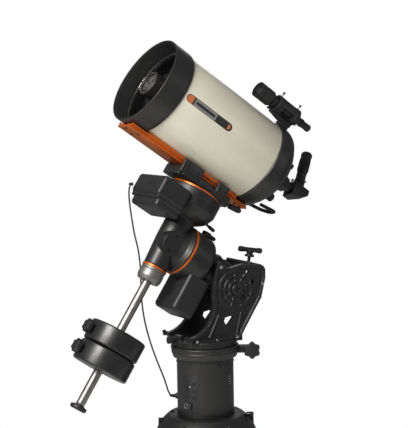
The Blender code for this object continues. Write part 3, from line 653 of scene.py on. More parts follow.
def make_front_end():
    """The deep hood with its rolled lip, and in it the retaining ring, corrector and secondary."""
    bm = drawn(turned, [(CELL_RADIUS - 0.0012, HOOD_FRONT), (CELL_RADIUS, HOOD_FRONT - 0.004),
        (CELL_RADIUS, 0.316), (0.165, 0.3085), (0.1612, TUBE_FRONT), (0.148, TUBE_FRONT), (0.148, 0.324),
        (0.16, 0.324), (0.16, 0.386), (0.1612, HOOD_FRONT)], WORLD, 160, 0.003)
    fine("front_cell", bm, OPTICAL)
    bm = drawn(turned, [(0.1598, 0.333), (0.1598, 0.3298), (0.1478, 0.3298), (0.1478, 0.3318),
        (0.15, 0.333)], WORLD, 160, 0.0006)
    extra("corrector_ring", bm, "front_cell", OPTICAL, "satin_black")
    bm = drawn(turned, [(0.15, 0.3338), (0.15, 0.3328), (0.148, 0.3318), (0.148, 0.333)], WORLD, 160,
        0.0003)
    extra("corrector_bright_edge", bm, "front_cell", OPTICAL, "stainless", BRIGHT)
    places = circle(8, 0.1545, 0.333, radians(22))
    screws("corrector_ring_screws", "front_cell", places, 0.0026, 0.0016, OPTICAL, "satin_black")
    bm = drawn(ring, 0.1597, 0.1591, 0.3886, 0.33 + GAP * 12, WORLD, 160, 0.0002)
    for index in range(9):
        height = 0.34 + 0.0052 * index
        turned(bm, [(0.1592, height + 0.0006), (0.1592, height - 0.0006), (0.1582, height)], WORLD, 160,
            0.0)
    extra("hood_lining", bm, "front_cell", OPTICAL, "satin_black", FLOCKED)
    bm = drawn(ring, 0.1596, 0.04, 0.3295, 0.3243, WORLD, 160, 0.0004)
    fine("corrector_plate", bm, OPTICAL)
    make_secondary()


def make_secondary():
    """The secondary's black drum with a bright rim and the three-lobed collimation plate in its face."""
    bm = drawn(turned, [(0, 0.3655), (0.0385, 0.3655), (0.04, 0.3722), (0.0462, 0.373), (0.0472, 0.37),
        (0.0475, 0.331), (0.0395, 0.3298), (0.0395, 0.296), (0.03, 0.295), (0, 0.295)], WORLD, 128,
        0.0012)
    fine("secondary_cell", bm, OPTICAL, LOOKS["satin_black"])
    bm = drawn(ring, 0.0412, 0.0392, 0.3734, 0.3722, WORLD, 128, 0.0004)
    plate = drawn(prism, lobes(0.036, 0.0095, 3, 24), 0.365, 0.369, edge=0.0008)
    holes = bmesh.new()
    for index in range(3):
        angle = 2 * pi * (index + 0.5) / 3
        rod(holes, 0.0068, 0.362, 0.375, move(0.0205 * cos(angle), 0.0205 * sin(angle), 0), 32, 0)
    merge(bm, carved(plate, holes), WORLD)
    extra("secondary_plate", bm, "secondary_cell", OPTICAL, "silver")
    bm = bmesh.new()
    for place in circle(3, 0.0285, 0.369, 0.0):
        screw(bm, place, 0.003, 0.0016)
    rod(bm, 0.0052, 0.365, 0.37)
    extra("collimation_screws", bm, "secondary_cell", OPTICAL, material=SCREW)


def make_tube():
    """The cream tube with its dark lining and its badge."""
    inner = TUBE_RADIUS - 0.0035
    bm = drawn(ring, TUBE_RADIUS, inner, TUBE_FRONT - GAP, TUBE_REAR, WORLD, 192, 0.0005)
    fine("optical_tube", bm, OPTICAL)
    bm = drawn(ring, 0.1563, 0.1558, TUBE_FRONT - 0.001, TUBE_REAR, WORLD, 128, 0)
    extra("tube_lining", bm, "optical_tube", OPTICAL, "satin_black", FLOCKED)
    make_badge()


def capsule(start, end, half, round_start, round_end):
    """(place along, half width) pairs from start down to end, narrowing to a tip at a round end."""
    thinnest = 0.0005
    stations = []
    for tip, inward, is_round in ((start, -1, round_start), (end, 1, round_end)):
        # A straight end stops at its tip, and a round one reaches a radius past it.
        steps = range(9) if is_round else range(1)
        for index in steps:
            along = round(tip - inward * half * sin(pi / 2 * index / 8), 5)
            past = (along - tip) * -inward
            width = (half ** 2 - past ** 2) ** 0.5 if past < half else thinnest
            stations.append((along, max(width, thinnest)))
    return sorted(set(stations), reverse=True)


def badge_patch(name, start, end, half, material, lift, inset=0.0, round_start=False, round_end=False):
    """A thin sticker on the side of the tube, along it from start to end, with round ends where asked."""
    middle, count = radians(-91.5), 12
    half -= inset
    stations = capsule(start - inset, end + inset, half, round_start, round_end)
    bm = bmesh.new()
    rims = []
    for reach in (TUBE_RADIUS + lift, TUBE_RADIUS + lift - STICKER):
        grid = []
        for along, width in stations:
            spread = width / (TUBE_RADIUS + lift)
            angles = [middle + (2 * index / count - 1) * spread for index in range(count + 1)]
            places = [(reach * cos(angle), reach * sin(angle), along) for angle in angles]
            grid.append([bm.verts.new(place) for place in places])
        for first, second in zip(grid, grid[1:]):
            for a, b, c, d in zip(first, first[1:], second[1:], second):
                bm.faces.new((a, b, c, d))
        rims.append([row[0] for row in grid] + grid[-1][1:] + [row[-1] for row in grid[-2::-1]]
            + grid[0][-2:0:-1])
    top, bottom = rims
    for index, corner in enumerate(top):
        after = (index + 1) % len(top)
        bm.faces.new((corner, top[after], bottom[after], bottom[index]))
    extra(name, bm, "optical_tube", OPTICAL, "cream", material)


def make_badge():
    """A plain capsule-shaped stripe: an orange end, a grey middle and a dark end with no lettering."""
    half = 0.0148
    start, end = 0.2785, 0.095
    badge_patch("badge_border", start, end, half, BADGE_DARK, 0.0003, 0.0, True, True)
    badge_patch("badge_orange_end", start, 0.262, half, BADGE_ORANGE, 0.00055, 0.0018, True, False)
    badge_patch("badge_middle", 0.258, 0.153, half, BADGE_GREY, 0.00055, 0.0018)
    badge_patch("badge_stripe", 0.25, 0.162, 0.005, BADGE_DARK, 0.00075)
    badge_patch("badge_tail", 0.101, 0.095, 0.0105, BADGE_ORANGE, 0.00055, 0.0016, False, True)


def make_rear_end():
    """The rear casting with its ribs, the focus and mirror-lock knobs, and the parts inside the tube."""
    front = TUBE_REAR - GAP
    bm = drawn(turned, [(0.1625, front), (CELL_RADIUS, -0.1435), (CELL_RADIUS, -0.184), (0.16, -0.203),
        (0.136, -0.2265), (0.113, -0.2445), (0.101, -0.2495), (0.0255, -0.25), (0.0255, -0.226),
        (0.1, -0.226), (0.145, -0.192), (0.156, -0.18), (0.156, front)], WORLD, 160, 0.006)
    for index in range(12):
        at = turn(30 * index + 15, "Z")
        outline = [(0.108, -0.244), (0.134, -0.227), (0.156, -0.2055), (0.15, -0.196), (0.108, -0.23)]
        lifted = [(x, z - 0.0022) for x, z in outline]
        prism(bm, lifted, -0.0022, 0.0022, at @ turn(90, "X"), 0.0008)
    ring(bm, 0.06, 0.044, -0.2518, -0.248)
    fine("rear_cell", bm, OPTICAL)
    places = circle(6, 0.052, 0.2518, 0.3)
    screws("rear_cell_screws", "rear_cell", places, 0.0032, 0.0024, OPTICAL @ turn(180, "X"),
        "satin_black")
    bm = bmesh.new()
    for angle in (55, -55, 150):
        place = turn(angle, "Z") @ move(0.086, 0, -0.2495) @ turn(180, "Y")
        rod(bm, 0.0085, -0.004, 0.006, place, 40)
        prism(bm, lobes(0.0115, 0.0012, 18, 6), 0.005, 0.019, place, 0.0012)
    extra("mirror_lock_knobs", bm, "rear_cell", OPTICAL)
    bm = bmesh.new()
    baffle = [(0.03, 0.06), (0.03, -0.22), (0.046, -0.2205), (0.046, -0.2257), (0.026, -0.2257),
        (0.026, 0.06)]
    turned(bm, baffle)
    fine("baffle_tube", bm, OPTICAL, FLOCKED)
    bm = drawn(turned, [(0.141, -0.14), (0.141, -0.162), (0.0305, -0.17), (0.0305, -0.146),
        (0.06, -0.1455), (0.1, -0.1435)], WORLD, 160, 0.0006)
    fine("primary_mirror", bm, OPTICAL)
    bm = bmesh.new()
    knob = move(-0.078, -0.022, -0.2503) @ turn(180, "X")
    rod(bm, 0.01, 0, 0.01, knob)
    prism(bm, lobes(0.0165, 0.0011, 28, 6), 0.008, 0.031, knob, 0.0009)
    turned(bm, [(0, 0.034), (0.0142, 0.034), (0.0155, 0.031), (0.0155, 0.028), (0, 0.028)], knob)
    fine("focus_knob", bm, OPTICAL)
    make_carry_handle()


def make_carry_handle():
    """A round loop with a ribbed grip across its end."""
    start, end = -0.24, -0.318
    half, corner = 0.044, 0.026
    near = [(start, half), *arc((end + corner, half - corner), corner, 90, 180, 12)]
    loop = near + [(z, -y) for z, y in reversed(near)]
    points = [(-0.13 + 0.136 * (start - z), y, z) for z, y in loop]
    bm = drawn(rod_along, points, 0.0065, 24)
    for index in range(9):
        place = move(-0.13 + 0.136 * (start - end), 0.015 - 0.00375 * index, end) @ turn(90, "X")
        ring(bm, 0.0078, 0.006, 0.0011, -0.0011, place, 32, 0.0006)
    fine("carry_handle", bm, OPTICAL, LOOKS["rubber"])


# ---------------------------------------------------------------- finder, diagonal and eyepiece


def make_finder():
    """The straight finder with its dew cap, in a two-ring bracket with thin adjusting screws."""
    axis = move(FINDER_OFFSET, 0, 0)
    bm = drawn(turned, [(0, -0.008), (0.0268, -0.008), (0.028, 0.006), (0.03, 0.006), (0.03, -0.018),
        (0.0288, -0.02), (0.0288, -0.024), (0.03, -0.026), (0.03, -0.058), (0.024, -0.066),
        (0.024, -0.124), (0.0252, -0.126), (0.0252, -0.14), (0.024, -0.142), (0.024, -0.196),
        (0.015, -0.212), (0.0135, -0.23), (0.0135, -0.256), (0.0148, -0.258), (0.013, -0.267),
        (0.0085, -0.267), (0.0075, -0.264), (0, -0.264)], axis, 96, 0.0012)
    prism(bm, lobes(0.016, 0.0008, 36, 6), -0.229, -0.218, axis, 0.0006)
    fine("finder_scope", bm, FINDER)
    bm = drawn(turned, [(0, -0.0055), (0.015, -0.0062), (0.0264, -0.0078), (0, -0.0078)], axis, 64, 0)
    turned(bm, [(0, -0.2642), (0.0074, -0.2642), (0.007, -0.2655), (0, -0.266)], axis, 40, 0)
    extra("finder_glass", bm, "finder_scope", FINDER, "glass", DARK_GLASS)
    make_finder_bracket()


def make_finder_bracket():
    """A foot with a slotted web, a cradle with windows, and two rings with three thin screws each."""
    web = bmesh.new()
    outline = [(0.177, -0.189), (0.192, -0.189), (0.193, -0.088), (0.185, -0.088), (0.177, -0.135)]
    prism(web, outline, -0.014, 0.014, turn(90, "X"))
    slot = drawn(block, (0.15, -0.0085, -0.166), (0.25, 0.0085, -0.111), edge=0.004)
    web = carved(web, slot)
    bm = bmesh.new()
    merge(bm, web, WORLD)
    base = [(-0.015, 0.1668), (0.015, 0.1668), (0.015, 0.172), (0.012, 0.178), (-0.012, 0.178),
        (-0.015, 0.172)]
    swapped = Matrix(((0, 1, 0, 0), (1, 0, 0, 0), (0, 0, -1, 0), (0, 0, 0, 1)))
    prism(bm, base, 0.142, 0.185, swapped, 0.0006)
    cradle, windows = bmesh.new(), bmesh.new()
    ring(cradle, 0.0335, 0.029, -0.096, -0.181, move(FINDER_OFFSET, 0, 0))
    for angle in (70, 160, 250, 340):
        block(windows, (0.02, -0.0115, -0.164), (0.05, 0.0115, -0.113),
            move(FINDER_OFFSET, 0, 0) @ turn(angle, "Z"), 0.006)
    merge(bm, carved(cradle, windows), WORLD)
    for centre in FINDER_RINGS:
        ring(bm, 0.0345, 0.0262, centre + 0.009, centre - 0.009, move(FINDER_OFFSET, 0, 0), 96, 0.0012)
    fine("finder_bracket", bm, FINDER)
    bm = bmesh.new()
    for centre in FINDER_RINGS:
        for angle in (0, 120, -120):
            place = move(FINDER_OFFSET, 0, centre) @ turn(angle, "Z") @ turn(90, "Y")
            rod(bm, 0.0016, 0.024, 0.044, place, 16)
            prism(bm, lobes(0.0046, 0.0006, 12, 4), 0.044, 0.052, place, 0.0005)
    extra("finder_screws", bm, "finder_bracket", FINDER, material=SCREW)


def make_diagonal():
    """The visual back and the prism housing, with their screws and side plates, and then the eyepiece."""
    bm = drawn(turned, [(0.03, -0.2503), (0.03, -0.318), (0.0205, -0.322), (0.0205, -0.342),
        (0.0165, -0.342), (0.0165, -0.2503)], soft=0.0012)
    prism(bm, lobes(0.042, 0.001, 48, 6), -0.268, -0.2503)
    ring(bm, 0.0325, 0.029, -0.29, -0.306, soft=0.001)
    fine("visual_back", bm, OPTICAL)
    bm = bmesh.new()
    for angle in (90, -30):
        place = turn(angle, "Z") @ move(0.02, 0, -0.332) @ turn(90, "Y")
        rod(bm, 0.0022, 0, 0.01, place, 20)
        prism(bm, lobes(0.0058, 0.0006, 14, 4), 0.008, 0.018, place, 0.0006)
    extra("visual_back_screws", bm, "visual_back", OPTICAL, "stainless", BRIGHT)
    bm = bmesh.new()
    outline = [(-0.03, -0.3425), (-0.03, -0.372), (0.006, -0.424), (0.03, -0.424), (0.03, -0.3425)]
    prism(bm, outline, -0.026, 0.026, turn(90, "X"), 0.003, 3)
    turned(bm, [(0.021, -0.34), (0.021, -0.345), (0, -0.345), (0, -0.29), (0.016, -0.29),
        (0.016, -0.34)][::-1], WORLD, 64, 0)
    side = move(0, 0, -0.385) @ turn(90, "Y")
    ring(bm, 0.0205, 0.0163, 0.062, 0.026, side, 80, 0.0012)
    fine("star_diagonal", bm, DIAGONAL)
    bm = bmesh.new()
    inset = [(-0.025, -0.348), (-0.025, -0.37), (0.008, -0.4185), (0.025, -0.4185), (0.025, -0.348)]
    for low, high in ((-0.0268, -0.0255), (0.0255, 0.0268)):
        prism(bm, inset, low, high, turn(90, "X"), 0.0005)
    extra("diagonal_side_plates", bm, "star_diagonal", DIAGONAL, "satin_black")
    bm = bmesh.new()
    place = move(0, 0, -0.385) @ turn(90, "Y") @ turn(-90, "Z") @ move(0.0205, 0, 0.046) @ turn(90, "Y")
    rod(bm, 0.002, -0.001, 0.01, place, 20)
    prism(bm, lobes(0.005, 0.0006, 14, 4), 0.007, 0.015, place, 0.0006)
    extra("diagonal_screw", bm, "star_diagonal", DIAGONAL, "stainless", BRIGHT)
    make_eyepiece(side)


def make_eyepiece(side):
    """A ribbed barrel with an eyecup, drawn along the diagonal's side opening."""
    bm = drawn(turned, [(0, 0.179), (0.012, 0.179), (0.014, 0.186), (0.019, 0.186), (0.0221, 0.179),
        (0.0203, 0.161), (0.0216, 0.154), (0.0216, 0.106), (0.019, 0.095), (0.0188, 0.072), (0.019, 0.07),
        (0.019, 0.0625), (0.0158, 0.0625), (0.0158, 0.034), (0, 0.034)], side, 96, 0.0012)
    for index in range(9):
        height = 0.109 + 0.005 * index
        rib = [(0.0222, height + 0.0014), (0.0222, height - 0.0014), (0.0208, height - 0.0014)]
        turned(bm, [*rib, (0.0212, height + 0.0014)], side, 96, 0.0006)
    fine("eyepiece", bm, DIAGONAL)
    bm = drawn(turned, [(0, 0.1805), (0.007, 0.1798), (0.01, 0.1789), (0, 0.1788)], side, 48, 0)
    extra("eyepiece_glass", bm, "eyepiece", DIAGONAL, "glass", DARK_GLASS)
    bm = drawn(ring, 0.0191, 0.018, 0.08, 0.0785, side, 80, 0.0003)
    extra("eyepiece_band", bm, "eyepiece", DIAGONAL, "silver")


# ---------------------------------------------------------------- saddle and dovetail


def make_dovetail():
    """The orange dovetail plate with slanted sides, two raised rails and a groove down its middle."""
    under, top = 0.2523, 0.2645
    section = [(-0.05, under), (0.05, under), (0.05, under + 0.003), (0.0455, under + 0.0085),
        (0.0455, top), (0.014, top), (0.012, top - 0.004), (-0.012, top - 0.004), (-0.014, top),
        (-0.0455, top), (-0.0455, under + 0.0085), (-0.05, under + 0.003)]
    along = Matrix(((0, 0, 1, 0), (1, 0, 0, 0), (0, 1, 0, 0), (0, 0, 0, 1)))
    bm = drawn(prism, section, -0.372, 0.19, along, 0.0007)
    for side in (-1, 1):
        for start, end, height in ((-0.372, -0.295, 0.0048), (-0.298, 0.132, 0.0125)):
            rail = [(side * 0.0415, top - 0.002), (side * 0.05, top - 0.002), (side * 0.05, top + height)]
            rail += [(side * 0.044, top + height), (side * 0.0415, top + height - 0.003)]
            prism(bm, rail, start, end, along)
    fine("dovetail_bar", bm, DECLINATION)
    bm = bmesh.new()
    for x in (-0.322, 0.15, 0.175):
        for y in (-0.026, 0.026):
            screw(bm, move(x, y, under) @ turn(180, "X"), 0.0052, 0.003)
    for x in (-0.366, 0.184):
        screw(bm, move(x, 0, under) @ turn(180, "X"), 0.006, 0.0045)
    extra("dovetail_screws", bm, "dovetail_bar", DECLINATION, "casting", SCREW)


def make_saddle():
    """The saddle plate, its sliding near jaw with two raised blocks, and the long clamp knob at its back."""
    low, high = 0.2122, 0.2505
    bm = drawn(block, (-0.13, -0.056, low), (0.112, 0.056, high), edge=0.0045)
    block(bm, (-0.12, 0.052, low + 0.004), (0.1, 0.07, 0.2745), edge=0.003)
    fine("saddle", bm, DECLINATION)
    bm = drawn(block, (-0.12, -0.072, low + 0.004), (0.1, -0.0565, 0.238), edge=0.0025)
    block(bm, (-0.135, -0.0728, 0.22), (-0.045, -0.0567, 0.2745), edge=0.0035)
    block(bm, (0.03, -0.0728, 0.22), (0.08, -0.0567, 0.2745), edge=0.0035)
    fine("saddle_jaw", bm, DECLINATION)
    bm = bmesh.new()
    out = turn(90, "X")
    for x in (-0.115, -0.065, 0.042, 0.068):
        screw(bm, move(x, -0.0728, 0.252) @ out, 0.0042, 0.0022)
    for x in (-0.02, 0.01):
        screw(bm, move(x, -0.072, 0.227) @ out, 0.005, 0.0026)
    extra("saddle_jaw_screws", bm, "saddle_jaw", DECLINATION, "casting", SCREW)
    bm = bmesh.new()
    place = move(0.1142, -0.03, 0.229) @ turn(82, "Y")
    rod(bm, 0.006, 0, 0.02, place)
    prism(bm, lobes(0.011, 0.0014, 8, 10), 0.018, 0.066, place, 0.002, 3)
    turned(bm, [(0, 0.072), (0.0075, 0.071), (0.0092, 0.066), (0.0092, 0.064), (0, 0.064)], place)
    fine("saddle_knob", bm, DECLINATION)


# ---------------------------------------------------------------- declination head


def make_declination_head():
    """The declination casting, its orange rings, motor cover, clutch lever and counterweights."""
    bm = drawn(rod, 0.104, 0.149, 0.2035, DECLINATION, 96, 0.004)
    turned(bm, [(0, 0.155), (0.104, 0.155), (0.104, 0.149), (0.089, 0.119), (0.066, 0.102),
        (0.0545, 0.0965), (0.052, 0.08), (0.051, 0.0), (0.0445, -0.103), (0, -0.103)], DECLINATION, 96,
        0.002)
    turned(bm, [(0, 0.032), (0.043, 0.03), (0.06, 0.006), (0.064, -0.018), (0.076, -0.04),
        (0.0925, -0.05), (0.0925, -0.0567), (0, -0.0567)], POLAR, 96, 0.003)
    facet = POLAR @ move(-0.0067, 0, 0.0094) @ turn(90, "X")
    rod(bm, 0.0433, 0.02, 0.0615, facet, 64, 0.0015)
    bm.transform(DECLINATION.inverted())
    fine("dec_housing", cast(bm, 0.0021, 4), DECLINATION, None, 180)
    make_declination_trim(facet)
    make_dec_motor_cover()
    make_counterweights()


def make_declination_trim(facet):
    """Near-black discs on the round facet, painted as the shade in its two holes, then screws, both orange
    rings and the clutch lever.
    """
    bm = bmesh.new()
    # Two near-black discs on the facet: painted shade where its holes are.
    for x, y in ((0.0287, 0.0045), (-0.0306, 0.0081)):
        place = facet @ move(x, y, 0.0612)
        turned(bm, [(0, 0.0004), (0.006, 0.0004), (0.0066, 0.0009), (0.0074, 0.0006), (0.0074, -0.002),
            (0, -0.002)], place, 32, 0.0002)
    extra("dec_housing_hole_shade", bm, "dec_housing", material=FACET_HOLE_SHADE)
    places = [radial(radians(angle), 0.178, 0.1036) for angle in (60, 120, 180, 240, 300)]
    screws("dec_housing_screws", "dec_housing", places, 0.004, 0.0022, DECLINATION)
    bm = drawn(ring, 0.0955, 0.0225, 0.2105, 0.2038, steps=160)
    fine("dec_top_ring", bm, DECLINATION)
    bm = drawn(ring, 0.0465, 0.0163, -0.1033, -0.1105, steps=128)
    fine("dec_ring", bm, DECLINATION)
    bm = bmesh.new()
    place = move(0.0985, -0.01, 0.13) @ turn(96, "Y")
    rod(bm, 0.0045, 0, 0.013, place, 32)
    rod(bm, 0.0065, 0.011, 0.04, place, 40, 0.003)
    fine("dec_clutch_knob", bm, DECLINATION)


def make_dec_motor_cover():
    """The two-part motor cover at the front of the declination head, with a dark seam between."""
    bm = drawn(block, (-0.184, -0.101, 0.0995), (-0.06, 0.101, 0.176), WORLD, 0.013, 5)
    block(bm, (-0.168, -0.094, 0.062), (-0.06, 0.094, 0.0975), WORLD, 0.012, 5)
    block(bm, (-0.176, -0.0965, 0.09), (-0.062, 0.0965, 0.11), WORLD, 0.002, 2)
    tool = bmesh.new()
    side = [(0.1043, 0.149), (0.0893, 0.119), (0.0663, 0.102), (0.0548, 0.0965), (0.0523, 0.08),
        (0.0513, 0.0)]
    turned(tool, [(0, 0.3), (0.1043, 0.3), *side, (0, 0.0)], soft=0)
    joined = cast(bm, 0.0018, 2)
    fine("dec_motor_cover", carved(joined, tool), DECLINATION, None, 40)
    outward = turn(-90, "Y")
    places = [move(DEC_COVER_FRONT, y, z) @ outward for y in (-0.084, 0.084) for z in (0.118, 0.16)]
    screws("dec_cover_screws", "dec_motor_cover", places, 0.0034, 0.001, DECLINATION, "moulded")
    bm = bmesh.new()
    for y in (-0.03, 0.0):
        socket = move(DEC_COVER_FRONT, y, 0.137) @ outward
        ring(bm, 0.0105, 0.007, 0.0018, -0.001, socket, 48, 0.0004)
        rod(bm, 0.007, -0.002, 0.0004, socket, 32, 0)
    extra("dec_cover_sockets", bm, "dec_motor_cover", DECLINATION, material=FLOCKED)


def make_counterweights():
    """The grey nut, the steel shaft, both weights with their lobed lock knobs, and the safety cap."""
    bm = drawn(turned, [(0.044, -0.1108), (0.0448, -0.1125), (0.0448, -0.118), (0.0425, -0.1195),
        (0.0425, -0.1215), (0.0455, -0.1225), (0.0455, -0.146), (0.04, -0.16), (0.0163, -0.16),
        (0.0163, -0.1108)], steps=160)
    prism(bm, lobes(0.0456, 0.0007, 72, 4), -0.144, -0.1245, edge=0.0004)
    fine("dec_lock_nut", bm, DECLINATION)
    bm = drawn(turned, [(0, -0.07), (0.016, -0.07), (0.016, -0.644), (0.015, SHAFT_END), (0, SHAFT_END)])
    fine("counterweight_shaft", bm, DECLINATION)
    bm = drawn(turned, [(0, SHAFT_END - GAP), (0.018, SHAFT_END - GAP), (0.02, SHAFT_END - 0.003),
        (0.0295, SHAFT_END - 0.005), (0.0305, SHAFT_END - 0.007), (0.0305, SHAFT_END - 0.015),
        (0.027, SHAFT_END - 0.02), (0.009, SHAFT_END - 0.02), (0.008, SHAFT_END - 0.017),
        (0, SHAFT_END - 0.017)], soft=0.0015)
    fine("shaft_end_cap", bm, DECLINATION)
    for label, centre in WEIGHTS:
        make_weight(label, centre)


def make_weight(label, centre):
    """One counterweight and its lock knob."""
    rim = WEIGHT_RADIUS
    half = WEIGHT_THICKNESS / 2
    bm = drawn(turned, [(rim - 0.0045, centre + half), (rim, centre + half - 0.0045),
        (rim, centre - half + 0.0045), (rim - 0.0045, centre - half), (0.03, centre - half),
        (0.028, centre - half + 0.0015), (0.0163, centre - half + 0.0015),
        (0.0163, centre + half - 0.0015), (0.028, centre + half - 0.0015), (0.03, centre + half)], WORLD,
        192, 0.002)
    fine(f"counterweight_{label}", bm, DECLINATION)
    bm = drawn(hand_knob, 0.025, 0.026, 0.01, 0.008, move(-rim - GAP, 0, centre) @ turn(-90, "Y"))
    fine(f"counterweight_knob_{label}", bm, DECLINATION)


# ---------------------------------------------------------------- polar head


def make_polar_head():
    """The polar casting with its orange ring, setting scale, clutch and motor box."""
    bm = drawn(turned, [(0, -0.0643), (0.0935, -0.0643), (0.0935, -0.14), (0.088, -0.153), (0.07, -0.163),
        (0.061, -0.175), (0.061, -0.372), (0.052, -0.385), (0, -0.385)], WORLD, 128, 0.004)
    for height in (-0.205, -0.352):
        ring(bm, 0.065, 0.05, height + 0.006, height - 0.006, soft=0.002)
    axle = move(ALTITUDE_AXIS[0], 0, ALTITUDE_AXIS[1]) @ turn(90, "X")
    rod(bm, 0.04, -0.0655, 0.0655, axle, 64, 0.002)
    fine("ra_housing", cast(bm, 0.0021, 4), POLAR, None, 180)
    bm = drawn(ring, 0.0945, 0.07, -0.057, -0.064, steps=160)
    fine("ra_ring", bm, POLAR)
    bm = bmesh.new()
    for index in range(72):
        tall = 0.0042 if index % 6 == 0 else 0.0024
        at = turn(5 * index, "Z")
        block(bm, (0.093, -0.0003, -0.066 - tall), (0.09365, 0.0003, -0.066), at, 0)
    extra("ra_scale", bm, "ra_housing", POLAR, "silver", PALE_MARK)
    places = [radial(radians(angle), -0.112, 0.0932) for angle in (70, 110, 250, 290, 180)]
    screws("ra_housing_screws", "ra_housing", places, 0.0042, 0.0022, POLAR)
    make_ra_motor_cover()
    bm = bmesh.new()
    along = -0.122
    prism(bm, lobes(0.017, 0.001, 24, 6), 0, 0.016, move(0.0942, 0, along) @ turn(90, "Y"), 0.0015)
    rod(bm, 0.0075, 0.0, 0.042, move(0.103, 0, along) @ turn(180, "X"), 40, 0.003)
    fine("ra_clutch_knob", bm, POLAR)


def make_ra_motor_cover():
    """The box under the polar head, hollowed to fit round it."""
    bm = drawn(block, (-0.208, -0.073, -0.196), (-0.05, 0.073, -0.102), WORLD, 0.016, 6)
    tool = drawn(turned, [(0, 0.1), (0.0938, 0.1), (0.0938, -0.3), (0, -0.3)], WORLD, 128, 0)
    fine("ra_motor_cover", carved(bm, tool), POLAR)
    faces = (move(0, 0, -0.102), move(0, 0, -0.196) @ turn(180, "X"))
    places = [face @ move(x, y, 0) for y in (-0.056, 0.056) for x in (-0.192, -0.112) for face in faces]
    screws("ra_cover_screws", "ra_motor_cover", places, 0.0034, 0.0012, POLAR, "moulded")


# ---------------------------------------------------------------- fork


def fork_outline():
    """The side plate's outline: a round cut at the front, then the dipped top edge and the sloping back."""
    front = arc((-0.127, -0.224), 0.119, -90, 14, 25)
    rest = [(-0.004, -0.137), (0.002, -0.105), (0.01, -0.082), (0.02, -0.076), (0.032, -0.086),
        (0.046, -0.098)]
    rest += [(0.064, -0.101), (0.088, -0.096), (0.117, -0.091), (0.146, -0.0955), (0.186, -0.0985),
        (0.206, -0.106)]
    rest += [(0.213, -0.12), (0.213, -0.15), (0.194, -0.222), (0.154, -0.28), (0.108, -0.35)]
    return [*front, *rest, (0.108, -0.37), (-0.105, -0.37), (-0.118, -0.343)]


def anticlockwise(outline):
    area = sum((a[0] * b[1] - b[0] * a[1] for a, b in zip(outline, [*outline[1:], outline[0]])))
    return outline if area > 0 else outline[::-1]


def fork_plate(side):
    """One side plate: a raised rim, a sunk field, and a round boss with ribs round the tilt axle."""
    half = FORK_PLATE / 2
    sunk = 0.006
    outline = anticlockwise(fork_outline())
    plate = drawn(prism, outline, -half, half - sunk, edge=0)
    for start, end in zip(outline, [*outline[1:], outline[0]]):
        along = Vector(end) - Vector(start)
        edge = move(start[0], start[1], 0) @ about_z(atan2(along.y, along.x))
        block(plate, (-0.001, 0, 0), (along.length + 0.001, 0.0105, half), edge, 0)
    boss = move(FORK_AXLE[0], FORK_AXLE[1] - AXES.z, half)
    for outer, inner, top in ((0.072, 0.065, 0.0), (0.03, 0.018, 0.0), (0.049, 0.044, -0.0015)):
        ring(plate, outer, inner, top, -0.01, boss, 96, 0)
    for angle in range(12, 372, 40):
        block(plate, (0.024, -0.0022, -0.009), (0.069, 0.0022, -0.0005), boss @ turn(angle, "Z"), 0)
    for start, end in (((-0.03, -0.35), (0.012, -0.268)), ((0.085, -0.355), (0.108, -0.268))):
        along = Vector(end) - Vector(start)
        rib = move(start[0], start[1], 0) @ about_z(atan2(along.y, along.x))
        block(plate, (0, -0.0035, 0), (along.length, 0.0035, half - 0.0005), rib, 0)
    facing = Matrix.Identity(4) if side < 0 else Matrix.Scale(-1, 4, (0, 0, 1))
    return plate, move(0, side * (FORK_HALF_WIDTH - half), AXES.z) @ turn(90, "X") @ facing


def fork_holes():
    """The axle bore, two small holes and a window, through both side plates."""
    tool = bmesh.new()
    across = move(0, 0, AXES.z) @ turn(90, "X")
    axle = (FORK_AXLE[0], FORK_AXLE[1] - AXES.z, 0.0125)
    for x, z, radius in ((0.138, -0.123, 0.007), (0.155, -0.161, 0.009), axle):
        rod(tool, radius, -0.12, 0.12, across @ move(x, z, 0), 40, 0)
    window = [(0.0339, -0.2955), (0.0485, -0.3136), (0.0748, -0.2834), (0.0642, -0.2768),
        (0.0384, -0.2813)]
    prism(tool, window, -0.12, 0.12, across, 0)
    return tool


def make_fork():
    """Two cast side plates with sunk faces and bosses, on a round foot, with a bridge at their back."""
    base = PIER_TOP + GAP
    bm = drawn(rod, 0.118, base, base + 0.024, WORLD, 128, 0.003)
    for side in (-1, 1):
        plate, upright = fork_plate(side)
        merge(bm, plate, upright)
    inner = FORK_HALF_WIDTH - FORK_PLATE / 2
    block(bm, (-0.03, -inner, -0.013), (0.032, inner, 0.0),
        move(0.176, 0, AXES.z - 0.0935) @ turn(16, "Y"), 0.003)
    block(bm, (-0.118, -0.02, base + 0.012), (-0.1, 0.02, base + 0.044), edge=0.002)
    fine("fork_mount", carved(cast(bm, 0.002, 3), fork_holes()), sharp=50)
    make_fork_trim(move(FORK_AXLE[0], 0, FORK_AXLE[1]) @ turn(90, "X"))


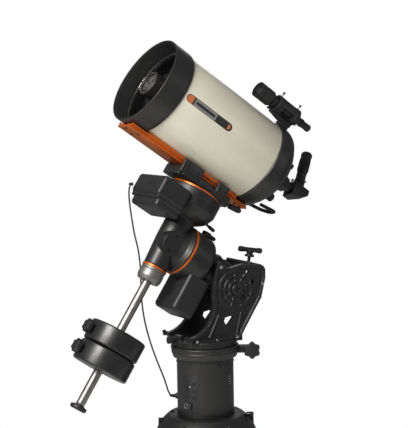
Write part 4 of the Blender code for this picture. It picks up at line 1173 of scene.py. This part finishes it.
def make_fork_trim(across):
    """The tilt axle, the screws, the T-handle of the altitude screw and the clamp knob."""
    bm = bmesh.new()
    profile = [(0, 0.0955), (0.0085, 0.0955), (0.0095, 0.101), (0.02, 0.101), (0.022, 0.0985),
        (0.022, 0.0885)]
    profile += [(0.012, 0.0885), (0.012, -0.0885), (0.0185, -0.0885), (0.0185, -0.0945), (0, -0.096)]
    turned(bm, profile, across)
    fine("altitude_axle", bm, WORLD, LOOKS["casting"])
    spots = ((0.197, -0.171), (-0.085, -0.355), (0.085, -0.355), (0.0, -0.36), (0.02, -0.095))
    faces = [(side * 0.0878, turn(90 * -side, "X")) for side in (-1, 1)]
    places = [move(x, y, AXES.z + z) @ face for y, face in faces for x, z in spots]
    screws("fork_screws", "fork_mount", places, 0.0058, 0.004, WORLD, "stainless", BRIGHT)
    screws("fork_foot_screws", "fork_mount", circle(4, 0.108, PIER_TOP + 0.0243, radians(30)), 0.0048,
        0.004)
    bm = drawn(turned, [(0, 0.052), (0.01, 0.0515), (0.0125, 0.048), (0.013, 0.036), (0.011, 0.03),
        (0.0175, 0.0285), (0.018, 0.02), (0.006, 0.019), (0.006, -0.03), (0, -0.03)], WORLD, 64, 0.0015)
    rod(bm, 0.0088, -0.044, 0.044, move(0, 0, 0.046) @ turn(90, "Y"), 48, 0.003)
    for end in (-1, 1):
        rod(bm, 0.0104, 0.03, 0.05, move(0, 0, 0.046) @ turn(90 * end, "Y"), 48, 0.0045)
    fine("altitude_handle", bm, HANDLE)
    bm = bmesh.new()
    front = move(-0.1185, 0, PIER_TOP + 0.03) @ turn(-90, "Y")
    rod(bm, 0.007, 0, 0.012, front, 40)
    prism(bm, lobes(0.013, 0.0012, 20, 6), 0.011, 0.036, front, 0.0018, 3)
    fine("fork_clamp_knob", bm)


# ---------------------------------------------------------------- pier and electronics panel


def make_pier():
    """The round pier with its top flange, screws, electronics panel and the bracket of the azimuth knob."""
    low, top = HUB_TOP + GAP, PIER_TOP
    bm = drawn(turned, [(0, top), (0.1215, top), (0.125, top - 0.003), (0.125, top - 0.012),
        (0.1225, top - 0.0145), (0.1225, top - 0.017), (0.124, top - 0.02), (0.117, top - 0.042),
        (PIER_RADIUS, top - 0.046), (PIER_RADIUS, low), (PIER_RADIUS - 0.006, low),
        (PIER_RADIUS - 0.006, top - 0.06), (0, top - 0.06)], WORLD, 160, 0.002)
    arm = about_z(AZIMUTH_ARM_TURN)
    block(bm, (0.1, -0.013, top - 0.034), (0.19, 0.013, top - 0.006), arm, 0.004)
    port = move(0, 0, PORT_HEIGHT) @ about_z(PORT_TURN) @ turn(90, "Y")
    turned(bm, [(0, 0.1185), (0.007, 0.1185), (0.007, 0.112), (0.011, 0.1115), (0.011, 0.101),
        (0, 0.101)], port, 48)
    fine("pier_column", bm)
    make_pier_screws(low, top)
    make_panel()
    make_azimuth_knob()


def make_pier_screws(low, top):
    """Two rows of six small screws round the pier."""
    turns = [radians(60 * index + 268) for index in range(6)]
    heights = (low + 0.012, top - 0.062)
    places = [radial(angle, z, PIER_RADIUS - 0.0004) for z in heights for angle in turns]
    screws("pier_screws", "pier_column", places, 0.0044, 0.0022)


def panel_place(across, height, lift=0.0):
    """A place on the curved electronics panel, in metres across and above the hub, its z pointing out."""
    return radial(PANEL_TURN + across / PIER_RADIUS, HUB_TOP + height, PIER_RADIUS + lift)


def curved_plate(bm, low, high, width, lift, turn_angle):
    """A plate bent round the pier between two heights."""
    half = width / 2 / PIER_RADIUS
    outer = PIER_RADIUS + lift
    angles = [turn_angle - half + 2 * half * index / 24 for index in range(25)]
    outline = [(outer * cos(angle), outer * sin(angle)) for angle in angles]
    back = PIER_RADIUS - 0.001
    outline += [(back * cos(angle), back * sin(angle)) for angle in reversed(angles)]
    prism(bm, outline, low, high, edge=0.0004)


def make_panel():
    """A curved panel with small sockets, a power inlet, a rocker switch and a pale lamp."""
    bm = drawn(curved_plate, HUB_TOP + 0.02, HUB_TOP + 0.158, 0.062, 0.0005, PANEL_TURN)
    extra("pier_panel", bm, "pier_column")
    bm = bmesh.new()
    for across in (-0.016, 0.014):
        for height in (0.078, 0.104, 0.13):
            block(bm, (-0.0075, -0.0068, -0.002), (0.0075, 0.0068, 0.0026), panel_place(across, height),
                0.001)
    extra("panel_sockets", bm, "pier_column", slot="satin_black")
    bm = bmesh.new()
    for across in (-0.016, 0.014):
        for height in (0.078, 0.104, 0.13):
            block(bm, (-0.0052, -0.0046, 0.0018), (0.0052, 0.0046, 0.0029), panel_place(across, height),
                0.0003)
    extra("panel_socket_holes", bm, "pier_column", material=FLOCKED)
    bm = drawn(ring, 0.0105, 0.007, 0.004, -0.002, panel_place(-0.017, 0.045), 48)
    rod(bm, 0.002, -0.002, 0.0034, panel_place(-0.017, 0.045), 20)
    extra("power_inlet", bm, "pier_column", slot="silver")
    bm = drawn(rod, 0.0026, -0.001, 0.0026, panel_place(0.0, 0.117), 24)
    extra("panel_lamp", bm, "pier_column", WORLD, "silver", PALE_MARK)
    bm = drawn(block, (-0.0025, -0.007, -0.01), (0.0025, 0.007, 0.01), edge=0.0012)
    spot = PIER_RADIUS + 0.0045
    place = move(spot * cos(PANEL_TURN), spot * sin(PANEL_TURN), HUB_TOP + 0.045)
    fine("power_switch", bm, place @ about_z(PANEL_TURN))
    bm = bmesh.new()
    for index in range(4):
        curved_plate(bm, HUB_TOP + 0.118 + 0.009 * index, HUB_TOP + 0.1205 + 0.009 * index, 0.016, 0.0006,
            radians(-62))
    extra("pier_marks", bm, "pier_column", WORLD, "silver", BADGE_GREY)


def make_azimuth_knob():
    """The lobed knob at the end of the pier's bracket, and its screw end on the other side."""
    reach = 0.172
    side = AZIMUTH_ARM_TURN - pi / 2
    x = reach * cos(AZIMUTH_ARM_TURN) + 0.0135 * cos(side)
    y = reach * sin(AZIMUTH_ARM_TURN) + 0.0135 * sin(side)
    place = move(x, y, PIER_TOP - 0.02) @ about_z(side) @ turn(90, "Y")
    bm = drawn(hand_knob, 0.031, 0.03, 0.01, 0.01, place)
    fine("azimuth_knob", bm)
    bm = drawn(rod, 0.0085, -0.04, -0.0265, place, 40)
    rod(bm, 0.013, -0.048, -0.038, place, 6, 0.001)
    extra("azimuth_screw_end", bm, "pier_column", WORLD, "casting", SCREW)


# ---------------------------------------------------------------- tripod


def make_hub():
    """The domed head of the tripod, cast in one piece with its leg lugs."""
    top = HUB_TOP
    bm = drawn(turned, [(0, top), (0.137, top), (0.152, top - 0.013), (0.17, top - 0.032),
        (0.183, top - 0.06), (0.188, top - 0.088), (0.18, top - 0.088), (0.168, top - 0.063),
        (0.13, top - 0.02), (0, top - 0.02)], WORLD, 128, 0.004)
    for angle in LEG_TURNS:
        at = about_z(angle)
        for side in (-1, 1):
            centre = side * 0.03
            low = (LEG_PIVOT[0] - 0.028, centre - 0.0065, LEG_PIVOT[2] - 0.022)
            high = (LEG_PIVOT[0] + 0.02, centre + 0.0065, top - 0.042)
            block(bm, low, high, at, 0.004)
    for index in range(6):
        at = about_z(pi / 6 + index * pi / 3)
        block(bm, (0.1, -0.003, top - 0.075), (0.176, 0.003, top - 0.016), at, 0.001)
    melted = cast(bm, 0.0024, 4)
    rod(melted, 0.008, 0.315, top - 0.01)
    for angle in LEG_TURNS:
        pin = about_z(angle) @ move(*LEG_PIVOT) @ turn(90, "X")
        rod(melted, 0.008, -0.042, 0.042, pin)
        for side in (-1, 1):
            rod(melted, 0.013, 0.036, 0.043, pin @ turn(90 + 90 * side, "X"), 6, 0.001)
    fine("tripod_hub", melted, sharp=60)
    bm = bmesh.new()
    for place in circle(3, 0.126, top, radians(20)):
        screw(bm, place, 0.006, 0.0045)
    lever = radial(radians(-38), top - 0.004, 0)
    rod(bm, 0.0055, 0.128, 0.15, lever, 32)
    rod(bm, 0.009, 0.149, 0.176, lever, 40, 0.004)
    extra("hub_clamp_lever", bm, "tripod_hub", WORLD, "casting", SCREW)


def make_leg(number, angle):
    """A steel leg: an upper tube with its collar, a sliding lower tube, a rubber foot and a lock knob."""
    root = about_z(angle) @ move(0, 0, LEG_PIVOT[2])
    leg = root @ move(LEG_PIVOT[0], 0, 0) @ Matrix.Rotation(-LEG_SPLAY, 4, "Y")
    bm = drawn(turned, [(0, -0.045), (0.035, -0.045), (0.035, -0.55), (0.0305, -0.55), (0.0305, -0.1),
        (0, -0.1)], soft=0.0012)
    block(bm, (-0.027, -0.0225, -0.06), (0.027, 0.0225, 0.02), edge=0.004)
    fine(f"leg_upper_{number}", bm, leg, LEG_STEEL)
    bm = bmesh.new()
    collar = [(0.0362, -0.493), (0.043, -0.499), (0.043, -0.55), (0.0352, -0.55), (0.0352, -0.493)]
    turned(bm, collar, soft=0.002)
    block(bm, (0.0358, -0.012, -0.54), (0.054, 0.012, -0.51), edge=0.0025)
    cap = [(0.0362, -0.044), (0.0385, -0.047), (0.0385, -0.08), (0.0352, -0.082), (0.0352, -0.044)]
    turned(bm, cap, soft=0.002)
    extra(f"leg_collars_{number}", bm, f"leg_upper_{number}", leg, "casting")
    bm = drawn(ring, 0.03, 0.026, -0.125, -0.69)
    fine(f"leg_lower_{number}", bm, leg, LEG_STEEL)
    bm = drawn(hand_knob, 0.02, 0.03, 0.006, 0.008, leg @ move(0.0545, 0, -0.525) @ turn(90, "Y"))
    fine(f"leg_lock_knob_{number}", bm)
    reach = 0.714
    pad = root @ move(LEG_PIVOT[0] + reach * sin(LEG_SPLAY), 0, -LEG_PIVOT[2])
    bm = drawn(turned, [(0, 0.022), (0.03, 0.022), (0.0374, 0.015), (0.0374, 0.0), (0, 0.0)], pad, 96,
        0.002)
    for height in (0.006, 0.011):
        ring(bm, 0.0376, 0.034, height + 0.0012, height - 0.0012, pad, 96, 0.0004)
    rod(bm, 0.027, -reach, -0.69 - GAP, leg, 96, 0.001)
    fine(f"foot_{number}", bm)


def make_spreader():
    """The three-armed brace on the centre rod, with the lobed nut under it."""
    low, high = SPREADER_HEIGHT - 0.012, SPREADER_HEIGHT + 0.012
    bm = drawn(rod, 0.034, low, high, WORLD, 96, 0.002)
    for angle in LEG_TURNS:
        arm = [(0.02, -0.015), (0.15, -0.01), (0.183, -0.015), (0.183, 0.015), (0.15, 0.01),
            (0.02, 0.015)]
        at = about_z(angle)
        prism(bm, arm, SPREADER_HEIGHT - 0.009, SPREADER_HEIGHT + 0.009, at, 0.002)
    tool = drawn(rod, 0.0086, low - 0.02, high + 0.02, WORLD, 40, 0)
    fine("spreader", carved(cast(bm, 0.002, 3), tool), sharp=60)
    bm = drawn(prism, lobes(0.028, 0.005, 6), SPREADER_HEIGHT - 0.0345, SPREADER_HEIGHT - 0.0145, WORLD,
        0.0025, 3)
    tool = drawn(rod, 0.0086, 0.4, 0.6, WORLD, 40, 0)
    fine("spreader_knob", carved(bm, tool))


# ---------------------------------------------------------------- assembly


make_camera()
make_cable()
make_studio()
make_front_end()
make_tube()
make_rear_end()
make_finder()
make_diagonal()
make_dovetail()
make_saddle()
make_declination_head()
make_polar_head()
make_fork()
make_pier()
make_hub()
for leg_number, leg_turn in enumerate(LEG_TURNS, start=1):
    make_leg(leg_number, leg_turn)
make_spreader()
for hidden in ("ra_shaft", "dec_axle"):
    node = frame["nodes"][hidden]
    node.data.materials.clear()
    node.data.materials.append(LOOKS["stainless"])
